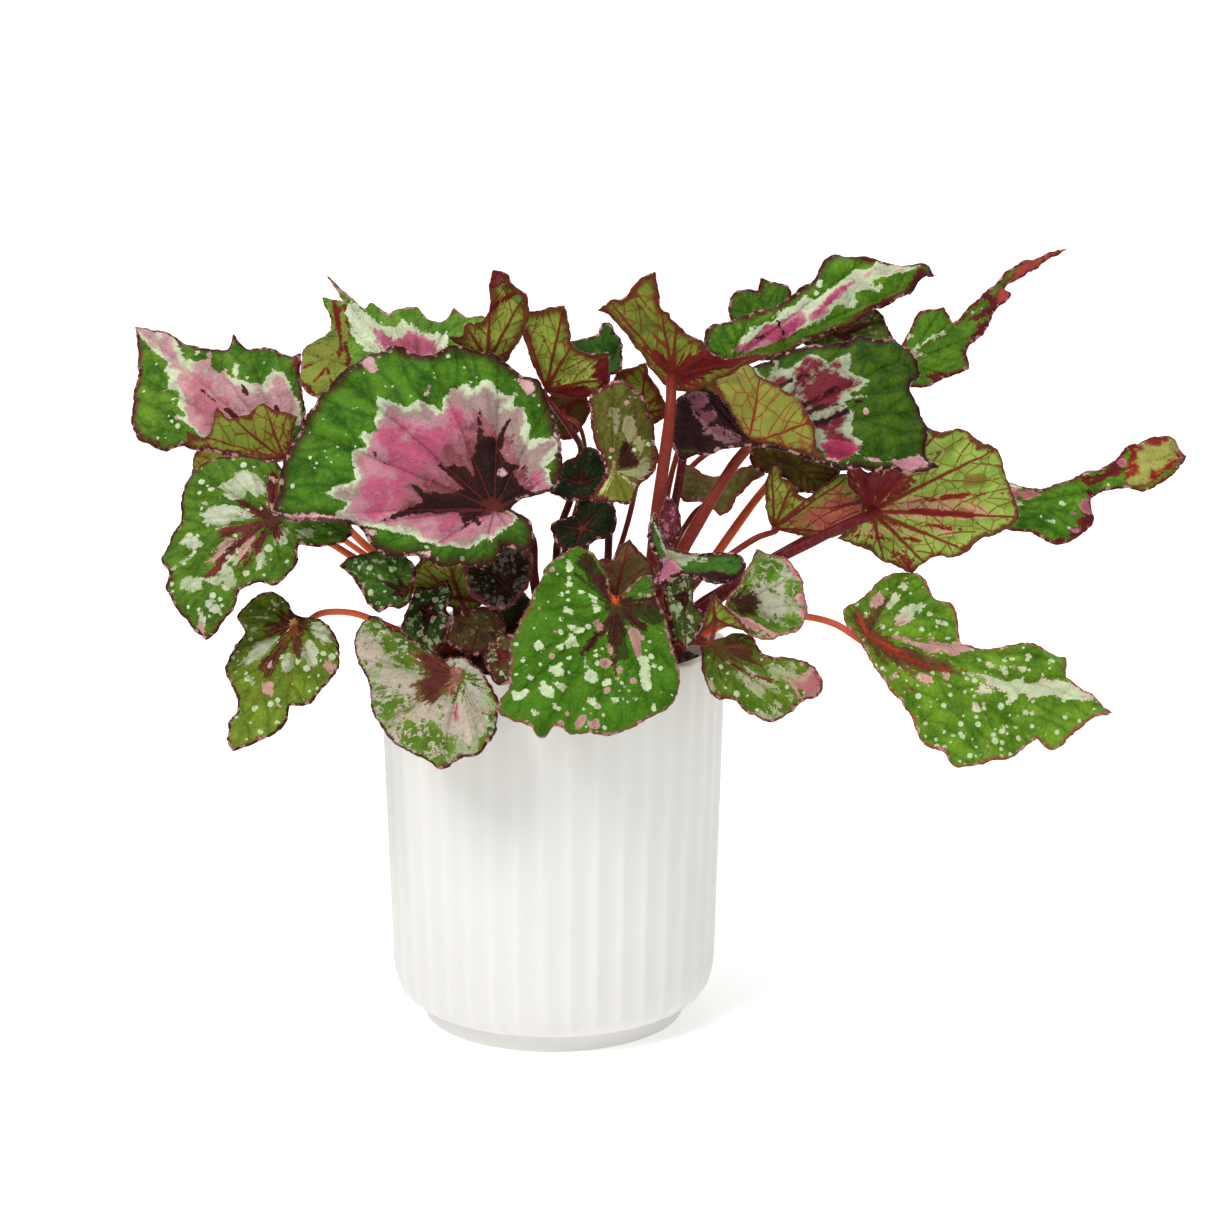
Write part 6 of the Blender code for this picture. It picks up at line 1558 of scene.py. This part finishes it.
# Each blade's finish and what sets its look apart
dark = dict(outer=tone(42, 58, 16), deep=tone(18, 28, 8), star=tone(44, 14, 14), vein=tone(20, 20, 8),
    rimShade=2)
olive = dict(outer=tone(104, 102, 40), deep=tone(72, 72, 24), back=tone(138, 146, 58), vein=tone(86, 42, 22))
crimsonBack = dict(flushEnd=0.26, flushRim=3)
leafKinds = {
    "big_pink": ("leaf_pink", dict(outer=tone(76, 120, 22), deep=tone(28, 70, 4), rimWidth=1.5,
        rimShade=6, rim=tone(54, 20, 10), line=tone(96, 34, 26), lineWidth=0.7, lineShare=0.6,
        cloud=0.46, spots=0.14, spotSize=0.24, spotFrom=0.62)),
    "far_left": ("leaf_green", dict(outer=tone(98, 132, 34), rimShade=3.4, spots=0.2, spotSize=0.26,
        spotFrom=0.5, back=tone(122, 124, 46), flushEnd=0.3)),
    "left_scrap": ("leaf_underside", dict(back=tone(150, 152, 52), backLine=tone(140, 58, 22))),
    "left_middle": ("leaf_silver", dict(spots=0.7, spotSize=0.42, spotFrom=0.35, rimShade=2,
        outer=tone(88, 124, 30), deep=tone(56, 88, 16))),
    "lower_left": ("leaf_silver", dict(spots=0.62, spotSize=0.34, spotFrom=0.2, rimShade=1.6,
        outer=tone(114, 138, 38), deep=tone(84, 104, 24), line=tone(150, 84, 44))),
    "small_left": ("leaf_dark", dict(dark, outer=tone(76, 112, 34), deep=tone(42, 74, 18), spots=0.8,
        spotSize=0.45, spotFrom=0.1, mottle=silver, mottleShare=0.34)),
    "dark_spotted": ("leaf_dark", dict(dark, outer=tone(56, 84, 34), deep=tone(26, 50, 16), spots=0.85,
        spotSize=0.36, spotFrom=0.1, mottle=silver, mottleShare=0.42)),
    "pot_left": ("leaf_silver", dict(outer=tone(98, 116, 32), deep=tone(64, 82, 18), mottle=silver,
        mottleShare=0.48, rimShade=1.6, line=tone(110, 54, 42), spots=0.5, spotFrom=0.5)),
    "top_left": ("leaf_green", dict(outer=tone(104, 142, 44), deep=tone(66, 108, 24), rimShade=1,
        rim=tone(110, 70, 40), rimWidth=0.5)),
    "v_left": ("leaf_underside", dict(crimsonBack, backPainted=True)),
    "v_right": ("leaf_underside", dict(crimsonBack, backPainted=True)),
    "narrow_green": ("leaf_green", dict(outer=tone(50, 96, 20), deep=tone(20, 50, 6), rimShade=1.5)),
    "dark_upper": ("leaf_dark", dict(dark, outer=tone(30, 44, 14), line=tone(90, 44, 28),
        mottle=tone(84, 90, 58), mottleShare=0.26)),
    "dark_round": ("leaf_dark", dict(dark, outer=tone(34, 44, 14), deep=tone(18, 20, 6),
        line=tone(110, 50, 26))),
    "olive_silver": ("leaf_underside", dict(olive, outer=tone(98, 98, 34), deep=tone(66, 66, 18),
        spots=0.3, spotSize=0.3, rim=tone(88, 28, 30), rimShade=2.6)),
    "olive_rim": ("leaf_underside", dict(olive, back=tone(128, 130, 40), **crimsonBack)),
    "olive_under": ("leaf_underside", dict(olive, back=tone(92, 90, 26), backDeep=tone(66, 62, 18),
        **crimsonBack)),
    "star_fold": ("leaf_silver", dict(outer=tone(70, 112, 36), deep=tone(44, 84, 22),
        vein=tone(40, 78, 24), rim=tone(48, 14, 18), rimWidth=1.4, rimShade=3.2,
        line=tone(66, 104, 40))),
    "young_upright": ("leaf_maroon", dict(dark, outer=tone(106, 40, 54), deep=tone(46, 14, 18),
        mottle=tone(150, 84, 100), mottleShare=0.4, rimWidth=0.5)),
    "silver_dark": ("leaf_dark", dict(dark, outer=tone(48, 44, 28), deep=tone(26, 14, 12),
        mottle=tone(108, 94, 82), mottleShare=0.5, rim=tone(118, 56, 58), rimWidth=1.2)),
    "brown_small": ("leaf_brown", dict(olive, outer=tone(84, 72, 36), deep=tone(44, 28, 14), spots=0.15,
        mottle=tone(112, 98, 62), mottleShare=0.34, rimShade=3)),
    # dark_back's near-black colour is painted shade
    "dark_back": ("leaf_dark", dark),
    "olive_small": ("leaf_underside", olive),
    "marbled_small": ("leaf_dark", dict(olive, outer=tone(88, 74, 34), deep=tone(48, 30, 16),
        mottle=silver, mottleShare=0.42, star=tone(84, 28, 22))),
    "pot_front": ("leaf_green", dict(outer=tone(72, 118, 20), deep=tone(46, 86, 2), spots=0.6,
        cloud=0.44, spotSize=0.36, spotFrom=0.32, rim=tone(112, 78, 42), rimWidth=0.5, rimShade=1.6,
        line=tone(54, 66, 12), lineShare=0.35, vein=tone(100, 140, 44), veinShare=0.14)),
    "front_under": ("leaf_brown", dict(olive, back=tone(118, 102, 60), backDeep=tone(96, 82, 44),
        flushEnd=0.2, backLine=tone(112, 40, 30), flushRim=1)),
    "right_marbled": ("leaf_silver", dict(dark, outer=tone(84, 100, 34), deep=tone(50, 66, 16),
        mottle=silver, mottleShare=0.46, spots=0.5)),
    "right_front": ("leaf_brown", dict(outer=tone(96, 124, 32), deep=tone(70, 98, 18),
        rim=tone(96, 50, 34), rimShade=2.4, spots=0.85, spotSize=0.3, spotFrom=0.1, blushShare=0.3)),
    "pink_edge": ("leaf_silver", dict(outer=tone(92, 120, 30), deep=tone(62, 90, 18), mottle=silver,
        mottleShare=0.36, rim=tone(150, 92, 78), rimShade=1)),
    "inverted_v": ("leaf_underside", dict(outer=tone(112, 104, 50), deep=tone(84, 74, 34),
        vein=tone(100, 66, 36), rim=tone(90, 30, 26), rimShade=3)),
    "lower_right": ("leaf_green", dict(outer=tone(106, 144, 34), deep=tone(70, 108, 18), spots=0.85,
        spotSize=0.34, spotFrom=0.14, rim=tone(136, 70, 50), rimWidth=0.6, rimShade=1.6)),
    "left_under": ("leaf_underside", dict(crimsonBack, flushEnd=0.16, flushRim=1.6, backPainted=True)),
    "right_under": ("leaf_underside", dict(back=tone(154, 178, 82), backDeep=tone(122, 152, 56),
        backPainted=True, backLine=tone(112, 26, 22), flushEnd=0.12, flushRim=1.6, flushRibs=0.35)),
    "far_right": ("leaf_pink", dict(outer=tone(92, 134, 30), deep=tone(46, 92, 10), spots=0.25,
        rim=tone(96, 30, 22), rimShade=2)),
    "red_tip": ("leaf_green", dict(outer=tone(86, 124, 26), deep=tone(48, 90, 10), rim=tone(96, 28, 24),
        rimWidth=1, rimShade=2.4, vein=tone(50, 92, 14))),
    "right_star": ("leaf_maroon", dict(outer=tone(68, 98, 14), deep=tone(28, 58, 2),
        rim=tone(48, 14, 14), rimWidth=1.4, rimShade=3.8, back=tone(140, 142, 60),
        backDeep=tone(120, 122, 48), backLine=tone(128, 26, 24), flushEnd=0.3, lineShare=0.3)),
    "top_right": ("leaf_green", dict(outer=tone(90, 128, 24), deep=tone(46, 90, 8),
        rim=tone(70, 20, 18), rimWidth=1.2, rimShade=3.6)),
    "behind_top": ("leaf_green", dict(outer=tone(80, 116, 24), deep=tone(46, 84, 10),
        rim=tone(74, 22, 18), rimWidth=1, rimShade=3)),
    "centre_under": ("leaf_red_underside", dict(back=tone(126, 136, 46), backDeep=tone(94, 108, 34),
        flushEnd=0.22, flushRim=2.2, backPainted=True)),
    "behind_star": ("leaf_green", dict(outer=tone(96, 112, 40), deep=tone(66, 72, 24), rimShade=3,
        mottle=tone(140, 134, 88), mottleShare=0.36, spots=0.4, star=tone(84, 40, 26), starEnd=0.8)),
    "behind_under": ("leaf_brown", dict(crimsonBack, outer=tone(108, 104, 38), deep=tone(74, 56, 24),
        vein=tone(96, 34, 26), veinShare=0.7, back=tone(150, 134, 62), backDeep=tone(116, 94, 42))),
    "pale_behind": ("leaf_underside", dict(outer=tone(120, 126, 54), deep=tone(100, 84, 52),
        mottle=tone(146, 128, 96), mottleShare=0.3, rim=tone(132, 60, 50), back=tone(180, 178, 92),
        backDeep=tone(152, 150, 70), backLine=tone(150, 92, 50), flushRim=1)),
}


def called(node):  # big_pink becomes bigPink
    words = node.split("_")
    return words[0] + "".join(w.title() for w in words[1:])


whiteHair = hairLook("pale hairs", tone(226, 200, 196))
for seed, (name, leaf) in enumerate(leaves.items(), 1):
    slot, own = leafKinds[name]
    look = dict(leafLook, **own)
    draw = np.random.default_rng(leafForm["seed"] + seed)
    plane = seated(leaf)
    edge = flat([*leaf["first"], leaf["tip"], *leaf["second"]], plane)
    ribs = edge[len(leaf["first"]) % leafForm["ribStep"]::leafForm["ribStep"]]
    turn = np.cross(edge[:-1], edge[1:])
    if abs(np.arctan2(turn, (edge[:-1] * edge[1:]).sum(1)).sum()) < leafForm["sinusLimit"]:
        edge = np.vstack([edge, [[0, 0]]])
    coats = layers.get(name, [])
    looks = [topLook(f"{name} upper side", look, coats), underLook(f"{name} underside", look, coats)]
    loop, row = outlined(edge, seed)
    body = sheet(called(name), leaf, plane, loop, row, edge, ribs, looks, coats, seed)
    pieces = [body, fringe("fringe", loop, plane, body, draw, whiteHair)]
    if name in flaps:
        flap = flaps[name]
        flapEdge = flat(flap["edge"], plane)
        flapLoop, flapRow = outlined(flapEdge, seed)
        flapRibs = flapEdge[2::leafForm["ribStep"]]
        folded = sheet("flap", leaf, plane, flapLoop, flapRow, edge, flapRibs, looks[::-1], [], seed, flap)
        pieces += [folded, fringe("fringe", flapLoop, plane, folded, draw, whiteHair)]
    body = joined(called(name) + "Leaf", pieces)
    settle(body, "leaf_" + name)
print("leaves are drawn")


# Stalks: knobbly rhizomes with thin hairy stalks that end under each blade
stalkForm = dict(
    sides=12, parts=8, taper=0.6, gap=0.5, turn=6, rootReach=8, swell=0.035, swellLength=5.3,
    crowns={"left": (-34, 0), "middle": (2, -4), "right": (38, -6)}, crownRadius=13.5, crownTop=170,
    knobs=3, knob=5.5, knobHeight=163, under=155.3, peg=9, pegDepth=15, heart=11.5, heartRise=6,
    disc=9, discRise=5, voxel=0.9, rounds=12, lumps=((0.5, 6, 4), (0.3, 2.6, 5)),
    hairs=2.6, hair=(0.7, 1.5), hairThick=0.05, hairFrom=6, hairSink=0.93,
    crimson=tone(86, 10, 20), orange=tone(206, 92, 56), roughness=0.42, specular=0.15, seed=77,
    streak=tone(160, 76, 62), streakShare=0.2, cloudNoise=(90, 4), streakNoise=(420, 2),
    skinNoise=(700, 3), relief=0.15, crownSides=48, knobSides=32, knobRings=20, soften=0.8,
    scale=tone(74, 34, 28), scaleLight=tone(134, 66, 50), scaleRelief=0.5,
    pale=("left_middle", "far_left", "lower_left", "lower_right", "red_tip", "left_scrap"),
)


def curved(path, parts):  # smooth path through the points, with evenly spread steps in each stretch
    path = np.asarray(path, float)
    padded = np.vstack([2 * path[0] - path[1], path, 2 * path[-1] - path[-2]])
    t = (np.arange(parts) / parts)[:, None]
    found = []
    for a, b, c, d in zip(padded, padded[1:], padded[2:], padded[3:]):
        second, third = 2 * a - 5 * b + 4 * c - d, 3 * b - a - 3 * c + d
        found.append(0.5 * (2 * b + (c - a) * t + second * t**2 + third * t**3))
    return np.vstack([*found, path[-1:]])


def stalkLook():
    form = stalkForm
    paint = Paint("hairy stalk", form["roughness"], Specular_IOR_Level=form["specular"])
    _, hue, _ = paint.split(paint.field("stem"))
    cloud = paint.noise(paint.here(), *form["cloudNoise"])
    colour = paint.mix(hue, form["crimson"], form["orange"])
    colour = paint.shade(colour, 0.75 + cloud * 0.5)
    streak = paint.step(paint.noise(paint.here(), *form["streakNoise"]), 0.52, 0.66)
    colour = paint.mix(streak * form["streakShare"], colour, form["streak"])
    return paint.finish(colour, paint.noise(paint.here(), *form["skinNoise"]), form["relief"])


def rhizomeLook():
    paint = Paint("scaly rhizome", 0.7)
    cloud = paint.noise(paint.here(), 120, 5)
    colour = paint.mix(paint.step(cloud, 0.35, 0.65), stalkForm["scale"], stalkForm["scaleLight"])
    grain = paint.noise(paint.here(), 350, 5) + paint.cells(paint.here(), 260)
    return paint.finish(colour, grain, stalkForm["scaleRelief"])


stalkPaint, rhizomePaint = stalkLook(), rhizomeLook()
redHair = hairLook("red stalk hairs", tone(190, 110, 104))
draw = np.random.default_rng(stalkForm["seed"])
form = stalkForm
for crown, (x, y) in form["crowns"].items():
    lumps = []
    for k in range(form["knobs"]):
        turn = 2 * math.pi * k / form["knobs"] + x
        lumps.append((x + form["crownRadius"] * math.cos(turn), y + form["crownRadius"] * math.sin(turn),
            form["knobHeight"] + k, form["knob"]))
    deselect()
    made = []
    bpy.ops.mesh.primitive_cylinder_add(vertices=form["crownSides"], radius=form["peg"] * mm,
        depth=2 * form["pegDepth"] * mm, location=(x * mm, y * mm, form["under"] * mm))
    made.append(bpy.context.object)
    for lx, ly, lz, size in [*lumps, (x, y, form["under"] + form["heartRise"], form["heart"])]:
        bpy.ops.mesh.primitive_uv_sphere_add(segments=form["knobSides"], ring_count=form["knobRings"],
            radius=size * mm, location=(lx * mm, ly * mm, lz * mm))
        made.append(bpy.context.object)
    bpy.ops.mesh.primitive_cylinder_add(vertices=form["crownSides"], radius=form["crownRadius"] * mm,
        depth=form["disc"] * mm, location=(x * mm, y * mm, (form["under"] + form["discRise"]) * mm))
    made.append(bpy.context.object)
    body = joined(crown + "Crown", made)
    pick(body)
    bpy.ops.object.transform_apply(location=True, rotation=True, scale=True)
    remesh = body.modifiers.new("Grown", "REMESH")
    remesh.mode = "VOXEL"
    remesh.voxel_size = form["voxel"] * mm
    bpy.ops.object.modifier_apply(modifier="Grown")
    soften = body.modifiers.new("Soft", "SMOOTH")
    soften.factor = form["soften"]
    soften.iterations = form["rounds"]
    bpy.ops.object.modifier_apply(modifier="Soft")
    body.data.materials.clear()
    body.data.materials.append(rhizomePaint)
    places = points(body)
    normals = np.array([v.normal for v in body.data.vertices])
    above = np.clip((places[:, 2] - form["under"]) / 2, 0, 1)[:, None]
    lumpy = sum(share * ripple(places, wave, seed) for share, wave, seed in form["lumps"])
    setPoints(body, places + normals * lumpy[:, None] * above)
    body.data.shade_smooth()
    pieces = [body]
    spots, faces, stems, roots, courses = [], [], [], [], []
    total = 0
    for name, (home, radius, between) in stalks.items():
        if home != crown:
            continue
        origin, _, _, up = seated(leaves[name])
        path = [atDepth(*p) for p in between]
        lean = (path[0] - [x, y, 0]) * [1, 1, 0]
        root = np.array([x, y, form["crownTop"] - form["rootReach"]]) + form["rootReach"] * unit(lean)
        near, end = origin - form["turn"] * up, origin - form["gap"] * up
        path = [p for p in path if np.linalg.norm(p - near) > form["turn"]]
        path = curved([root, *path, near, end], form["parts"])
        step = np.linalg.norm(np.diff(path, axis=0), axis=1)
        along = np.concatenate([[0], np.cumsum(step)])
        thick = radius * (1 - (1 - form["taper"]) * along / along[-1])
        wave = np.sin(along / form["swellLength"] + radius * 9)
        thick = thick * (1 + form["swell"] * wave)
        course = np.gradient(path, axis=0)
        course /= np.linalg.norm(course, axis=1, keepdims=True)
        side = np.cross(course, [0.05, 1, 0.02])
        side /= np.linalg.norm(side, axis=1, keepdims=True)
        other = np.cross(course, side)
        turns = np.arange(form["sides"]) * 2 * math.pi / form["sides"]
        ring = path[:, None] + thick[:, None, None] * (
            np.cos(turns)[None, :, None] * side[:, None] + np.sin(turns)[None, :, None] * other[:, None])
        count, n = len(path), form["sides"]
        spots.append(np.vstack([ring.reshape(-1, 3), path[:1], path[-1:]]))
        for i in range(count - 1):
            for k in range(n):
                a, b = total + i * n + k, total + i * n + (k + 1) % n
                faces.append((a, b, b + n, a + n))
        first, last = total + count * n, total + count * n + 1
        for k in range(n):
            faces.append((first, total + (k + 1) % n, total + k))
            faces.append((last, total + (count - 1) * n + k, total + (count - 1) * n + (k + 1) % n))
        hue = 1.0 if name in form["pale"] else draw.uniform(0, 0.25)
        stems.append(np.column_stack([np.append(np.repeat(along, n), [0, along[-1]]),
            np.full(count * n + 2, hue), np.append(np.repeat(thick, n), [radius, radius])]))
        total += count * n + 2
        hairs = int(along[-1] * form["hairs"])
        at = draw.uniform(form["hairFrom"], along[-1] - 1, hairs)
        k = np.clip(np.searchsorted(along, at) - 1, 0, count - 2)
        share = ((at - along[k]) / step[k])[:, None]
        middle = path[k] * (1 - share) + path[k + 1] * share
        turn = draw.uniform(0, 2 * math.pi, hairs)[:, None]
        out = np.cos(turn) * side[k] + np.sin(turn) * other[k]
        roots.append(middle + out * (thick[k] * form["hairSink"])[:, None])
        courses.append(out + draw.normal(0, 0.25, (hairs, 3)) + 0.15 * course[k])
    tubes = meshed("stalks", np.vstack(spots), faces, [stalkPaint])
    keep(tubes, "stem", np.vstack(stems))
    pick(tubes)
    bpy.ops.object.mode_set(mode="EDIT")
    bpy.ops.mesh.select_all(action="SELECT")
    bpy.ops.mesh.normals_make_consistent(inside=False)
    bpy.ops.object.mode_set(mode="OBJECT")
    tubes.data.shade_smooth()
    roots = np.vstack(roots)
    lengths = draw.uniform(*form["hair"], len(roots))
    hairs = spikes("hairs", roots, np.vstack(courses), lengths, form["hairThick"], redHair)
    body = joined(crown + "Crown", [body, tubes, hairs])
    settle(body, "crown_" + crown)
print("stalks are grown")
